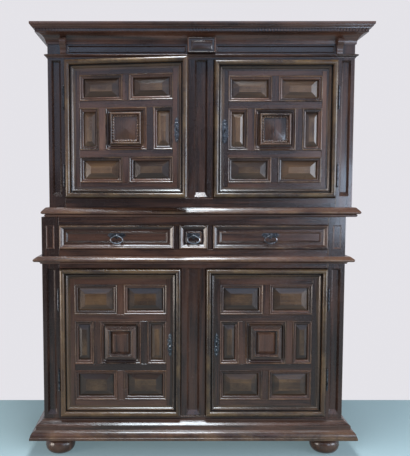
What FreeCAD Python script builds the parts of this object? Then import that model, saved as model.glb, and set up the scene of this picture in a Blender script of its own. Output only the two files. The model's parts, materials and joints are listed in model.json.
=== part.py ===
import FreeCAD, Part
import math
import os

import Sketcher

# Two-part walnut cabinet: a lower body with two doors and three drawers carries an upper body
# with two doors. +Z is up, the front faces -Y, and the origin lies on the floor under the middle.

SIZES = {
    # overall
    "back_plane": 324,
    "upper_post": 79.5,
    "upper_depth": 540,
    "lower_post": 83,
    "lower_depth": 552,
    "upper_offset": 34,
    # heights, from the floor up
    "foot_height": 92,
    "plinth_height": 87,
    "lower_door_rise": 16,
    "lower_door_height": 727,
    "waist_drop": 24,
    "waist_height": 36,
    "drawer_rise": 33,
    "drawer_height": 118,
    "belt_rail": 39,
    "base_height": 45,
    "upper_door_rise": 47,
    "upper_door_height": 649,
    "necking_rise": 10,
    "necking_height": 18,
    "frieze_height": 46,
    "cornice_height": 88,
    # mouldings round the case
    "plinth_overhang": 63,
    "waist_overhang": 37,
    "base_overhang": 37,
    "necking_overhang": 14,
    "cornice_overhang": 70,
    "plinth_torus": 26,
    "plinth_bead": 12,
    "plinth_ledge": 18,
    "plinth_fillet": 9,
    "waist_nose": 18,
    "waist_lip": 10,
    "base_nose": 20,
    "base_lip": 10,
    "necking_nose": 9,
    "necking_lip": 5,
    "moulding_foot": 6,
    "cornice_cove": 50,
    "cornice_step": 12,
    "cornice_fascia": 15,
    # carcass
    "frame_thick": 40,
    "side_thick": 26,
    "side_stile": 80,
    "side_rail": 90,
    "back_thick": 14,
    "board_thick": 18,
    "centre_post": 118,
    "recess_depth": 11,
    "recess_splay": 9,
    "recess_foot": 21,
    "recess_width": 44,
    "centre_recess_width": 60,
    "recess_end": 6,
    "shelf_depth": 430,
    "cleat": 24,
    "lower_shelf_height": 560,
    "upper_shelf_height": 1585,
    "foot_swell": 25,
    "foot_neck": 48,
    "foot_neck_height": 12,
    "foot_inset": 71,
    "rear_foot": 80,
    # doors
    "door_width": 585,
    "door_gap": 2,
    "ajar_angle": 8,
    "leaf_thick": 26,
    "stile_width": 69,
    "upper_end_rail": 72,
    "lower_end_rail": 78,
    "row_rail": 33,
    "muntin": 32,
    "upper_end_share": 0.275,
    "lower_end_share": 0.291,
    "narrow_panel": 93,
    "panel_rim": 7,
    "panel_sink": 4,
    "panel_bevel": 45,
    "narrow_bevel": 35,
    "bevel_end": 7,
    "block_margin": 24,
    "block_proud": 12,
    "block_bevel": 20,
    "block_boss": 8,
    "surround_width": 27,
    "surround_proud": 26,
    "surround_round": 10,
    "step_width": 8,
    "step_proud": 8,
    # door hinges
    "hinge_radius": 6,
    "hinge_height": 92,
    "upper_hinge_low": 60,
    "upper_hinge_high": 127,
    "lower_hinge_low": 134,
    "lower_hinge_high": 106,
    "hinge_clear": 0.5,
    "hinge_forward": 8,
    "pin_radius": 3.5,
    "pin_clear": 0.05,
    "pin_knob": 5,
    "knuckle_gap": 0.2,
    "tang": 3,
    # locks
    "lock_height": 90,
    "lock_width": 62,
    "lock_thick": 14,
    "lock_setback": 4,
    "lock_upper_rise": 316,
    "lock_lower_rise": 353,
    "bolt_height": 16,
    "bolt_thick": 8,
    "bolt_length": 44,
    "bolt_throw": 14,
    "bolt_clear": 0.3,
    "mortise_spare": 2,
    "plate_thick": 1.6,
    "plate_inset": 52,
    "plate_height": 116,
    "broad_plate": 34,
    "narrow_plate": 22,
    "keyhole": 4.5,
    # drawers
    "small_drawer": 140,
    "divider": 22,
    "drawer_gap": 1.5,
    "drawer_front": 22,
    "drawer_sink": 4,
    "drawer_depth": 430,
    "drawer_wall": 12,
    "drawer_side": 92,
    "drawer_floor": 8,
    "drawer_bead": 22,
    "drawer_bead_proud": 10,
    "drawer_bead_round": 6,
    "runner_width": 28,
    "runner_clear": 0.3,
    # drop rings
    "wide_grip": 88,
    "small_grip": 72,
    "grip_height": 36,
    "grip_thick": 2,
    "ring_half_width": 29,
    "ring_half_height": 19.5,
    "ring_wire": 2.6,
    "eye_wire": 2,
    "eye_clear": 0.3,
    "eye_stand": 10,
    # frieze
    "tablet_half": 66,
    "tablet_margin": 16,
    "tablet_rise": 14,
    "tablet_height": 72,
    "tablet_proud": 30,
    "tablet_field": 5,
    "frieze_sink": 6,
    "frieze_margin": 6,
    "corbel_width": 28,
    "corbel_height": 72,
    "corbel_proud": 34,
    "corbel_foot": 10,
    "corbel_inset": 4,
}

doc = FreeCAD.newDocument("cabinet")
sheet = doc.addObject("Spreadsheet::Sheet", "dims")
for row, (alias, number) in enumerate(SIZES.items(), start=1):
    sheet.set(f"A{row}", alias)
    sheet.set(f"B{row}", str(number))
    sheet.setAlias(f"B{row}", alias)
doc.recompute()


class Size:
    """A length written as an expression on the sheet's cells."""

    def __init__(self, text):
        self.text = str(text)

    def __str__(self):
        return self.text

    def __add__(self, other):
        return Size(f"({self} + {other})")

    def __radd__(self, other):
        return Size(f"({other} + {self})")

    def __sub__(self, other):
        return Size(f"({self} - {other})")

    def __rsub__(self, other):
        return Size(f"({other} - {self})")

    def __mul__(self, other):
        return Size(f"({self} * {other})")

    __rmul__ = __mul__

    def __truediv__(self, other):
        return Size(f"({self} / {other})")

    def __neg__(self):
        return Size(f"(-1 * {self})")

    def number(self):
        return float(sheet.evalExpression(self.text))


class Sheet:
    """Gives each cell of the sheet as a Size, by its alias."""

    def __getattr__(self, alias):
        if alias not in SIZES:
            raise AttributeError(alias)
        return Size(f"dims.{alias}")


d = Sheet()
NODES = []

# Heights of the main levels
plinth_top = d.foot_height + d.plinth_height
lower_door_bottom = plinth_top + d.lower_door_rise
lower_door_top = lower_door_bottom + d.lower_door_height
waist_bottom = lower_door_top + d.waist_drop
waist_top = waist_bottom + d.waist_height
drawer_bottom = waist_top + d.drawer_rise
drawer_top = drawer_bottom + d.drawer_height
lower_top = drawer_top + d.belt_rail
base_top = lower_top + d.base_height
upper_door_bottom = base_top + d.upper_door_rise
upper_door_top = upper_door_bottom + d.upper_door_height
necking_bottom = upper_door_top + d.necking_rise
necking_top = necking_bottom + d.necking_height
frieze_top = necking_top + d.frieze_height
upper_top = frieze_top + d.cornice_height

# Planes across and along the cabinet
upper_face = d.back_plane - d.upper_depth
lower_face = d.back_plane - d.lower_depth
post_half = d.centre_post / 2
door_inner = post_half + d.door_gap
door_outer = door_inner + d.door_width
post_inner = door_outer + d.door_gap
upper_half = post_inner + d.upper_post
lower_half = post_inner + d.lower_post
hinge_x = door_outer + d.hinge_clear + d.hinge_radius
divider_outer = d.small_drawer / 2 + d.divider
corbel_place = post_inner + d.corbel_inset

# The upper body stands a little to the right on the lower one
UPPER = d.upper_offset / 2
LOWER = -d.upper_offset / 2


def length(value):
    """Return value as a Size."""
    return value if isinstance(value, Size) else Size(value)


def place(item, x, y, z):
    """Bind an object's position to expressions."""
    for axis, value in zip("xyz", (x, y, z)):
        item.setExpression(f".Placement.Base.{axis}", str(value))


def box(x, y, z, dx, dy, dz, name="board"):
    """Return a box with its low corner at x, y, z."""
    item = doc.addObject("Part::Box", name)
    for side, value in (("Length", dx), ("Width", dy), ("Height", dz)):
        item.setExpression(side, str(value))
    place(item, x, y, z)
    return item


def cylinder(x, y, z, radius, height, name="rod"):
    """Return an upright cylinder that stands on x, y, z."""
    item = doc.addObject("Part::Cylinder", name)
    item.setExpression("Radius", str(radius))
    item.setExpression("Height", str(height))
    place(item, x, y, z)
    return item


def fuse(*items, name="joined"):
    """Return one solid made of several."""
    item = doc.addObject("Part::MultiFuse", name)
    item.Shapes = list(items)
    return item


def cut(base, *tools, name="cut"):
    """Return base with the tools taken out of it, one after the other."""
    for tool in tools:
        item = doc.addObject("Part::Cut", name)
        item.Base = base
        item.Tool = tool
        base = item
    return base


def node(label, body_x, *items):
    """Group solids into one named sub-part, moved across with its body."""
    item = doc.addObject("Part::Compound", label)
    item.Label = label
    item.Links = list(items)
    place(item, body_x, 0, 0)
    NODES.append(item)
    return item


def frustum(x, z, width, height, y_back, y_front, margin_x, margin_z, name="field"):
    """Return a block that narrows by the margins from its back to its front.

    Each margin is held below half the block, so that a small block keeps a flat front.
    """
    margin_x = Size(f"min({margin_x}; {width * 0.4})")
    margin_z = Size(f"min({margin_z}; {height * 0.4})")
    item = doc.addObject("Part::Wedge", name)
    bounds = {
        "Xmin": 0, "Xmax": width, "Zmin": 0, "Zmax": height,
        "Ymin": 0, "Ymax": y_back - y_front,
        "X2min": margin_x, "X2max": width - margin_x,
        "Z2min": margin_z, "Z2max": height - margin_z,
    }
    for key, value in bounds.items():
        item.setExpression(key, str(value))
    item.Placement.Rotation = FreeCAD.Rotation(FreeCAD.Vector(0, 0, 1), 180)
    place(item, x + width, y_back, z)
    return item


def outline(points, name="outline"):
    """Return a closed sketch through points (u, v).

    A third item in a point is the radius of the arc that runs from it to the next point,
    turning to the left when it is given with +1 and to the right with -1 as fourth item.
    """
    sketch = doc.addObject("Sketcher::SketchObject", name)
    spots = [(length(point[0]).number(), length(point[1]).number()) for point in points]
    count = len(points)
    heads = []
    tails = []
    for index, point in enumerate(points):
        start = FreeCAD.Vector(*spots[index], 0)
        end = FreeCAD.Vector(*spots[(index + 1) % count], 0)
        if len(point) == 2:
            sketch.addGeometry(Part.LineSegment(start, end))
            heads.append(1)
            tails.append(2)
            continue
        radius, turn = length(point[2]).number(), point[3]
        chord = end - start
        rise = math.sqrt(max(radius ** 2 - (chord.Length / 2) ** 2, 0))
        across = FreeCAD.Vector(-chord.y, chord.x, 0).normalize() * turn
        centre = (start + end) * 0.5 + across * rise
        first, last = (start, end) if turn > 0 else (end, start)
        angles = [math.atan2(spot.y - centre.y, spot.x - centre.x) for spot in (first, last)]
        ring = Part.Circle(centre, FreeCAD.Vector(0, 0, 1), radius)
        sketch.addGeometry(Part.ArcOfCircle(ring, *angles))
        heads.append(1 if turn > 0 else 2)
        tails.append(2 if turn > 0 else 1)
    for index in range(count):
        after = (index + 1) % count
        sketch.addConstraint(Sketcher.Constraint("Coincident", index, tails[index], after, heads[after]))
    for index, point in enumerate(points):
        for kind, value, spot in zip(("DistanceX", "DistanceY"), point[:2], spots[index]):
            rule = Sketcher.Constraint(kind, -1, 1, index, heads[index], spot)
            sketch.setExpression(f"Constraints[{sketch.addConstraint(rule)}]", str(value))
        if len(point) > 2:
            rule = Sketcher.Constraint("Radius", index, length(point[2]).number())
            sketch.setExpression(f"Constraints[{sketch.addConstraint(rule)}]", str(point[2]))
    return sketch


def extrusion(sketch, run, name="length"):
    """Return the sketch drawn out along its normal."""
    item = doc.addObject("Part::Extrusion", name)
    item.Base = sketch
    item.DirMode = "Normal"
    item.Solid = True
    item.setExpression("LengthFwd", str(run))
    return item


def half_space(x, y, z, axis, angle, reach, name="mitre"):
    """Return a large block that starts at a point and fills the side that the angle faces."""
    item = doc.addObject("Part::Box", name)
    item.setExpression("Length", str(reach))
    item.setExpression("Width", str(reach * 2))
    item.setExpression("Height", str(reach * 2))
    turn = FreeCAD.Rotation(axis, angle)
    item.Placement.Rotation = turn
    shift = turn.multVec(FreeCAD.Vector(0, -1, -1))
    place(item, x + reach * shift.x, y + reach * shift.y, z + reach * shift.z)
    return item


def tilted(sketch, x, y, z, turn):
    """Put a sketch in the cabinet with a fixed turn."""
    sketch.Placement.Rotation = turn
    place(sketch, x, y, z)
    return sketch


# Turns that stand a sketch up: its u axis, its v axis and the way it is drawn out
def facing(u_axis, v_axis):
    """Return the turn that lays a sketch's u and v axes along two directions."""
    u_axis, v_axis = FreeCAD.Vector(*u_axis), FreeCAD.Vector(*v_axis)
    return FreeCAD.Rotation(u_axis, v_axis, u_axis.cross(v_axis), "ZXY")


LEFT, RIGHT, FRONT, UP, DOWN = (-1, 0, 0), (1, 0, 0), (0, -1, 0), (0, 0, 1), (0, 0, -1)
Y_AXIS = FreeCAD.Vector(0, 1, 0)
Z_AXIS = FreeCAD.Vector(0, 0, 1)


def case_moulding(points, half, face, z, overhang, height):
    """Return three mitred lengths of a moulding: front, left side and right side.

    Each point gives how far the profile stands out from the case and its height above z.
    """
    reach = overhang * 2 + height
    run = d.back_plane - face + overhang
    front = extrusion(tilted(outline(points), half + overhang, face, z, facing(FRONT, UP)),
                      (half + overhang) * 2)
    front = cut(front, half_space(half, face, z, Z_AXIS, 45, reach),
                half_space(-half, face, z, Z_AXIS, 135, reach))
    left = extrusion(tilted(outline(points), -half, face - overhang, z, facing(LEFT, UP)), run)
    left = cut(left, half_space(-half, face, z, Z_AXIS, -45, reach))
    right = extrusion(tilted(outline(points), half, d.back_plane, z, facing(RIGHT, UP)), run)
    right = cut(right, half_space(half, face, z, Z_AXIS, 225, reach))
    return front, left, right


def frame_moulding(points, x, y, z, width, height, reach):
    """Return four mitred lengths of a moulding that frames a rectangle on the front.

    Each point gives how far the profile lies inside the rectangle's edge and how far it
    stands out to the front.
    """
    x_end, z_end = x + width, z + height
    lengths = (
        (x, z, UP, width, ((x_end, z, -45), (x, z, -135))),
        (x_end, z, LEFT, height, ((x_end, z, 135), (x_end, z_end, -135))),
        (x_end, z_end, DOWN, width, ((x_end, z_end, 45), (x, z_end, 135))),
        (x, z_end, RIGHT, height, ((x, z_end, -45), (x, z, 45))),
    )
    strips = []
    for start_x, start_z, inward, run, mitres in lengths:
        sketch = tilted(outline(points), start_x, y, start_z, facing(inward, FRONT))
        tools = [half_space(at_x, y, at_z, Y_AXIS, angle, reach) for at_x, at_z, angle in mitres]
        strips.append(cut(extrusion(sketch, run), *tools))
    return strips


def recess(x, y, z, width, height, depth, splay, foot):
    """Return the tool for a sunk panel with splayed sides, open to the front."""
    item = doc.addObject("Part::Wedge", "recess")
    bounds = {
        "Xmin": 0, "Xmax": width, "Zmin": 0, "Zmax": height, "Ymin": 0, "Ymax": depth,
        "X2min": splay, "X2max": width - splay, "Z2min": foot, "Z2max": height - splay,
    }
    for key, value in bounds.items():
        item.setExpression(key, str(value))
    place(item, x, y, z)
    return item


def cross_hole(x, y, z, radius, depth):
    """Return a round tool that runs from y towards the back."""
    item = cylinder(x, y, z, radius, depth, "bore")
    item.Placement.Rotation = FreeCAD.Rotation(FreeCAD.Vector(1, 0, 0), -90)
    return item


def beside(side, inner, width):
    """Return the low X of a piece that starts at a distance from the middle on one side."""
    return length(inner) if side > 0 else -(length(inner) + width)


# Case frames, boards and feet


def post(side, half, face, bottom, top, panel_bottom, panel_top):
    """Return an outer post with a sunk panel beside the door."""
    width = half - post_inner
    x = beside(side, post_inner, width)
    panel = recess(x + (width - d.recess_width) / 2, face, panel_bottom, d.recess_width,
                   panel_top - panel_bottom, d.recess_depth, d.recess_splay, d.recess_foot)
    return cut(box(x, face, bottom, width, d.frame_thick, top - bottom), panel)


def centre_post(face, bottom, top, lock_level):
    """Return the post between the doors, with a sunk panel and a mortise for each lock bolt."""
    tools = [
        recess(-d.centre_recess_width / 2, face, bottom + d.recess_end, d.centre_recess_width,
               top - bottom - d.recess_end, d.recess_depth, d.recess_splay, d.recess_foot)
    ]
    reach = d.bolt_throw - d.door_gap - d.lock_setback + d.mortise_spare
    slot = d.bolt_height + d.bolt_clear * 4
    slot_thick = d.bolt_thick + d.bolt_clear * 4
    bolt_y = face + d.leaf_thick + d.lock_thick / 2
    for side in (-1, 1):
        tools.append(box(beside(side, post_half - reach, reach), bolt_y - slot_thick / 2,
                         lock_level - slot / 2, reach, slot_thick, slot, "mortise"))
    return cut(box(-post_half, face, bottom, d.centre_post, d.frame_thick, top - bottom), *tools)


def framed_side(side, half, face, bottom, top, rails):
    """Return one end of a case: rear stile, rails given by their low and high end, and panels."""
    x = beside(side, half - d.side_thick, d.side_thick)
    front, back = face + d.frame_thick, d.back_plane
    run = back - front - d.side_stile
    pieces = [box(x, back - d.side_stile, bottom, d.side_thick, d.side_stile, top - bottom)]
    pieces += [box(x, front, low, d.side_thick, run, high - low) for low, high in rails]
    rim_x = beside(side, half - d.side_thick, d.panel_rim)
    field_x = (half - d.side_thick + d.panel_rim) * side
    for (_, z), (head, _) in zip(rails, rails[1:]):
        tall = head - z
        rim = box(rim_x, front, z, d.panel_rim, run, tall)
        field = frustum(0, 0, run, tall, d.side_thick - d.panel_rim, d.panel_sink,
                        d.panel_bevel, d.panel_bevel)
        field.Placement.Rotation = FreeCAD.Rotation(Z_AXIS, -90 * side)
        place(field, field_x, front if side < 0 else front + run, z)
        pieces.append(fuse(rim, field))
    return pieces


def back_boards(half, bottom, top, count):
    """Return upright boards that close the back between the sides."""
    width = (half - d.side_thick) * 2 / count
    return [
        box(-(half - d.side_thick) + width * index, d.back_plane - d.back_thick, bottom,
            width, d.back_thick, top - bottom)
        for index in range(count)
    ]


def level_board(half, face, z, thick):
    """Return a board that fills the inside of a case between frame, sides and back."""
    front = face + d.frame_thick
    return box(-(half - d.side_thick), front, z, (half - d.side_thick) * 2,
               d.back_plane - d.back_thick - front, thick)


def shelf(half, level):
    """Return a shelf on two cleats against the back of a case."""
    inner = half - d.side_thick
    back = d.back_plane - d.back_thick
    board = box(-inner, back - d.shelf_depth, level, inner * 2, d.shelf_depth, d.board_thick)
    cleats = [
        box(beside(side, inner - d.cleat, d.cleat), back - d.shelf_depth, level - d.cleat,
            d.cleat, d.shelf_depth, d.cleat)
        for side in (-1, 1)
    ]
    return [board] + cleats


def between_posts(face, z, height):
    """Return a rail of the front frame that runs between the outer posts."""
    return box(-post_inner, face, z, post_inner * 2, d.frame_thick, height)


# Doors


def fielded_panel(x, face, z, width, height, bevel_x, bevel_z):
    """Return a panel with a flat rim at its back and a raised field."""
    rim_front = face + d.leaf_thick - d.panel_rim
    rim = box(x, rim_front, z, width, d.panel_rim, height, "rim")
    field = frustum(x, z, width, height, rim_front, face + d.panel_sink, bevel_x, bevel_z)
    return fuse(rim, field, name="panel")


def centre_block(x, face, z, width, height):
    """Return the panel in the middle of a door, with a block that stands out from it."""
    rim_front = face + d.leaf_thick - d.panel_rim
    block_front = face - d.block_proud
    margin = d.block_margin
    rim = box(x, rim_front, z, width, d.panel_rim, height, "rim")
    body = box(x + margin, block_front, z + margin, width - margin * 2, rim_front - block_front,
               height - margin * 2, "block")
    boss = frustum(x + margin, z + margin, width - margin * 2, height - margin * 2,
                   block_front, block_front - d.block_boss, d.block_bevel, d.block_bevel)
    return fuse(rim, body, boss, name="block")


def surround_profile():
    """Return the profile of the bold moulding round a door, from its outer edge inwards."""
    shoulder = d.surround_proud - d.surround_round
    return (
        (0, 0),
        (0, shoulder, d.surround_round, -1),
        (d.surround_round, d.surround_proud),
        (d.surround_width - d.surround_round, d.surround_proud, d.surround_round, -1),
        (d.surround_width, shoulder),
        (d.surround_width, d.step_proud),
        (d.surround_width + d.step_width, d.step_proud),
        (d.surround_width + d.step_width, 0),
    )


def swing(item, side, face):
    """Turn a sub-part of an ajar door about its hinge line."""
    angle = d.ajar_angle * side
    x, y = hinge_x * side, face - d.hinge_forward
    item.setExpression(".Placement.Rotation.Angle", str(angle))
    place(item, UPPER + x * Size(f"(1 - cos({angle}))") + y * Size(f"sin({angle})"),
          y * Size(f"(1 - cos({angle}))") - x * Size(f"sin({angle})"), 0)


def hinge_levels(bottom, height, low, high):
    """Return the foot of the lower and of the upper hinge of a door."""
    return bottom + low, bottom + height - high - d.hinge_height


def hinge_half(side, face, z, towards_door):
    """Return one knuckle of a hinge, bored for the pin, with its tang."""
    y = face - d.hinge_forward
    x = hinge_x * side
    tall = d.hinge_height / 2 - d.knuckle_gap / 2
    barrel = cylinder(x, y, z, d.hinge_radius, tall, "barrel")
    if towards_door:
        reach = hinge_x - door_outer
        tang = box(beside(side, door_outer, reach), y - d.tang / 2, z, reach, d.tang, tall, "tang")
    else:
        tang = box(x - d.tang / 2, y, z, d.tang, d.hinge_forward, tall, "tang")
    bore = cylinder(x, y, z, d.pin_radius + d.pin_clear, tall, "bore")
    return cut(fuse(barrel, tang), bore, name="knuckle")


def hinge_pin(side, face, z):
    """Return a hinge pin with a round knob at each end."""
    x, y = hinge_x * side, face - d.hinge_forward
    drop = d.pin_knob + d.knuckle_gap
    pieces = [cylinder(x, y, z - drop, d.pin_radius, d.hinge_height + drop * 2, "pin")]
    for level in (z - drop, z + d.hinge_height + drop):
        knob = doc.addObject("Part::Sphere", "knob")
        knob.setExpression("Radius", str(d.pin_knob))
        place(knob, x, y, level)
        pieces.append(knob)
    return fuse(*pieces, name="pin")


def door(name, body_x, side, face, bottom, height, end_rail, end_share, lock_rise, plate, hinges):
    """Build one door and return its sub-parts."""
    left = beside(side, door_inner, d.door_width)
    zone = d.door_width - d.stile_width * 2
    zone_x = left + d.stile_width
    panel_height = height - (end_rail + d.row_rail) * 2
    end_row = panel_height * end_share
    mid_row = panel_height - end_row * 2
    mid_z = bottom + end_rail + end_row + d.row_rail
    top_row_z = mid_z + mid_row + d.row_rail
    lock_z = bottom + lock_rise
    key_x = (door_inner + d.plate_inset) * side

    free_stile_x = beside(side, door_inner, d.stile_width)
    hinge_stile_x = beside(side, door_outer - d.stile_width, d.stile_width)
    keyed = cut(box(free_stile_x, face, bottom, d.stile_width, d.leaf_thick, height),
                cross_hole(key_x, face, lock_z, d.keyhole, d.leaf_thick))
    frame = [keyed, box(hinge_stile_x, face, bottom, d.stile_width, d.leaf_thick, height)]
    for z, tall in ((bottom, end_rail), (mid_z - d.row_rail, d.row_rail),
                    (mid_z + mid_row, d.row_rail), (top_row_z + end_row, end_rail)):
        frame.append(box(zone_x, face, z, zone, d.leaf_thick, tall))
    end_panel = (zone - d.muntin) / 2
    for z in (bottom + end_rail, top_row_z):
        frame.append(box(zone_x + end_panel, face, z, d.muntin, d.leaf_thick, end_row))
    for x in (zone_x + d.narrow_panel, zone_x + zone - d.narrow_panel - d.muntin):
        frame.append(box(x, face, mid_z, d.muntin, d.leaf_thick, mid_row))

    panels = []
    for z in (bottom + end_rail, top_row_z):
        for x in (zone_x, zone_x + end_panel + d.muntin):
            panels.append(fielded_panel(x, face, z, end_panel, end_row,
                                        d.panel_bevel + d.bevel_end, d.panel_bevel))
    for x in (zone_x, zone_x + zone - d.narrow_panel):
        panels.append(fielded_panel(x, face, mid_z, d.narrow_panel, mid_row,
                                    d.narrow_bevel, d.narrow_bevel + d.bevel_end))
    block_x = zone_x + d.narrow_panel + d.muntin
    panels.append(centre_block(block_x, face, mid_z, zone - (d.narrow_panel + d.muntin) * 2, mid_row))

    reach = d.surround_proud * 2 + d.surround_width
    surround = frame_moulding(surround_profile(), left, face, bottom, d.door_width, height, reach)

    back = face + d.leaf_thick
    case_inner = door_inner + d.lock_setback
    case = box(beside(side, case_inner, d.lock_width), back, lock_z - d.lock_height / 2,
               d.lock_width, d.lock_thick, d.lock_height, "lock_case")
    bolt_y = back + d.lock_thick / 2
    slide = d.bolt_length + d.bolt_clear
    channel = box(beside(side, case_inner, slide), bolt_y - d.bolt_thick / 2 - d.bolt_clear,
                  lock_z - d.bolt_height / 2 - d.bolt_clear, slide,
                  d.bolt_thick + d.bolt_clear * 2, d.bolt_height + d.bolt_clear * 2, "channel")
    bolt = box(beside(side, case_inner, d.bolt_length), bolt_y - d.bolt_thick / 2,
               lock_z - d.bolt_height / 2, d.bolt_length, d.bolt_thick, d.bolt_height, "bolt")
    plate_y = face - d.plate_thick
    escutcheon = cut(box(key_x - plate / 2, plate_y, lock_z - d.plate_height / 2, plate,
                         d.plate_thick, d.plate_height, "plate"),
                     cross_hole(key_x, plate_y, lock_z, d.keyhole, d.plate_thick))
    half_up = d.hinge_height / 2 + d.knuckle_gap / 2
    knuckles = [hinge_half(side, face, z + half_up, True) for z in hinges]
    return [
        node(f"{name}_frame", body_x, *frame),
        node(f"{name}_panels", body_x, *panels),
        node(f"{name}_surround", body_x, *surround),
        node(f"{name}_lock", body_x, cut(case, channel), escutcheon),
        node(f"{name}_lock_bolt", body_x, bolt),
        node(f"{name}_hinge_knuckles", body_x, *knuckles),
    ]


# Drawers


def bead_profile():
    """Return the profile of the moulding round a drawer front, from its outer edge inwards."""
    top = d.drawer_bead_proud + d.drawer_sink
    return (
        (0, 0),
        (0, top - d.drawer_bead_round, d.drawer_bead_round, -1),
        (d.drawer_bead_round, top),
        (d.drawer_bead_round * 2, top),
        (d.drawer_bead, d.drawer_sink),
        (d.drawer_bead, 0),
    )


def drop_ring(x, y, z):
    """Return an oval ring that hangs from an eye at x, y, z."""
    path = doc.addObject("Part::Ellipse", "ring_path")
    path.setExpression("MajorRadius", str(d.ring_half_width))
    path.setExpression("MinorRadius", str(d.ring_half_height))
    wire = doc.addObject("Part::Circle", "ring_wire")
    wire.setExpression("Radius", str(d.ring_wire))
    wire.Placement.Rotation = FreeCAD.Rotation(FreeCAD.Vector(1, 0, 0), 90)
    place(wire, d.ring_half_width, 0, 0)
    ring = doc.addObject("Part::Sweep", "ring")
    ring.Sections = [wire]
    ring.Spine = (path, ["Edge1"])
    ring.Solid = True
    ring.Frenet = True
    ring.Placement.Rotation = FreeCAD.Rotation(FreeCAD.Vector(1, 0, 0), 90)
    place(ring, x, y, z - d.ring_half_height)
    return ring


def eye_staple(x, y, z, stem):
    """Return the eye that holds a ring at x, y, z, on a stem that runs back to its plate."""
    eye = doc.addObject("Part::Torus", "eye")
    eye.setExpression("Radius1", str(d.ring_wire + d.eye_clear + d.eye_wire))
    eye.setExpression("Radius2", str(d.eye_wire))
    eye.Placement.Rotation = FreeCAD.Rotation(Y_AXIS, 90)
    place(eye, x, y, z)
    start = d.ring_wire + d.eye_clear + d.eye_wire
    return fuse(eye, cross_hole(x, y + start, z, d.eye_wire, stem - start), name="staple")


def drawer(name, x, width, grip):
    """Build one drawer and its pull, and return nothing: each piece becomes a sub-part."""
    gap, face = d.drawer_gap, lower_face
    left, bottom = x + gap, drawer_bottom + gap
    wide, tall = width - gap * 2, d.drawer_height - gap * 2
    board_y = face + d.drawer_sink
    board = box(left, board_y, bottom, wide, d.drawer_front, tall, "front")
    beads = frame_moulding(bead_profile(), left, board_y, bottom, wide, tall,
                           d.drawer_bead * 2 + d.drawer_bead_proud)
    node(f"{name}_front", LOWER, board, *beads)

    box_y = board_y + d.drawer_front
    wall = d.drawer_wall
    walls = [
        box(left, box_y, bottom, wall, d.drawer_depth, d.drawer_side),
        box(left + wide - wall, box_y, bottom, wall, d.drawer_depth, d.drawer_side),
        box(left + wall, box_y + d.drawer_depth - wall, bottom, wide - wall * 2, wall, d.drawer_side),
        box(left + wall, box_y, bottom, wide - wall * 2, d.drawer_depth - wall, d.drawer_floor),
    ]
    node(f"{name}_box", LOWER, *walls)

    middle = left + wide / 2
    eye_z = bottom + tall / 2 + d.ring_half_height / 2
    plate_y = board_y - d.grip_thick
    eye_y = plate_y - d.eye_stand
    plate = box(middle - grip / 2, plate_y, eye_z - d.grip_height / 2, grip, d.grip_thick,
                d.grip_height, "grip_plate")
    node(f"{name}_pull_plate", LOWER, fuse(plate, eye_staple(middle, eye_y, eye_z, d.eye_stand)))
    node(f"{name}_pull_ring", LOWER, drop_ring(middle, eye_y, eye_z))


# Mouldings and feet

ROUND = 0.55  # radius of a nosing's arc, as a share of its height


def bulge(nose):
    """Return how far a nosing's arc stands out beyond its two ends."""
    radius = nose * ROUND
    return radius - Size(f"sqrt({radius * radius - nose * nose / 4})")


def nosing(overhang, height, nose, lip):
    """Return a moulding profile: a hollow below, a rounded nose and a sloping top."""
    radius = nose * ROUND
    edge = overhang - bulge(nose)
    return (
        (0, 0),
        (d.moulding_foot, 0),
        (edge, lip, radius, 1),
        (edge, lip + nose),
        (d.moulding_foot, height),
        (0, height),
    )


def plinth_profile():
    """Return the plinth's profile: torus, bead, sloping face, ledge and fillet."""
    torus, bead = d.plinth_torus, d.plinth_bead
    torus_edge = d.plinth_overhang - bulge(torus)
    bead_edge = torus_edge - bead
    return (
        (0, 0),
        (torus_edge, 0, torus * ROUND, 1),
        (torus_edge, torus),
        (bead_edge, torus, bead * ROUND, 1),
        (bead_edge, torus + bead),
        (d.plinth_ledge, d.plinth_height - d.plinth_fillet),
        (d.plinth_ledge, d.plinth_height),
        (0, d.plinth_height),
    )


def cornice_profile():
    """Return the cornice's profile: a deep hollow under two stepped fascias."""
    overhang, cove, step = d.cornice_overhang, d.cornice_cove, d.cornice_step
    cove_edge = overhang - step * 2
    return (
        (0, 0),
        (d.moulding_foot, 0),
        (cove_edge, cove),
        (overhang - step, cove),
        (overhang - step, cove + d.cornice_fascia),
        (overhang, cove + d.cornice_fascia),
        (overhang, d.cornice_height),
        (0, d.cornice_height),
    )


def bun_foot(x, y):
    """Return a turned foot: a flattened ball with a short neck."""
    ball = d.foot_height - d.foot_neck_height
    radius = (ball * ball / 4 + d.foot_swell * d.foot_swell) / (d.foot_swell * 2)
    sketch = outline((
        (0, 0),
        (d.foot_neck, 0, radius, 1),
        (d.foot_neck, ball),
        (d.foot_neck, d.foot_height),
        (0, d.foot_height),
    ))
    sketch.Placement.Rotation = facing(RIGHT, UP)
    foot = doc.addObject("Part::Revolution", "bun_foot")
    foot.Source = sketch
    foot.Axis = Z_AXIS
    foot.Angle = 360
    foot.Solid = True
    place(foot, x, y, 0)
    return foot


# Lower body

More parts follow.
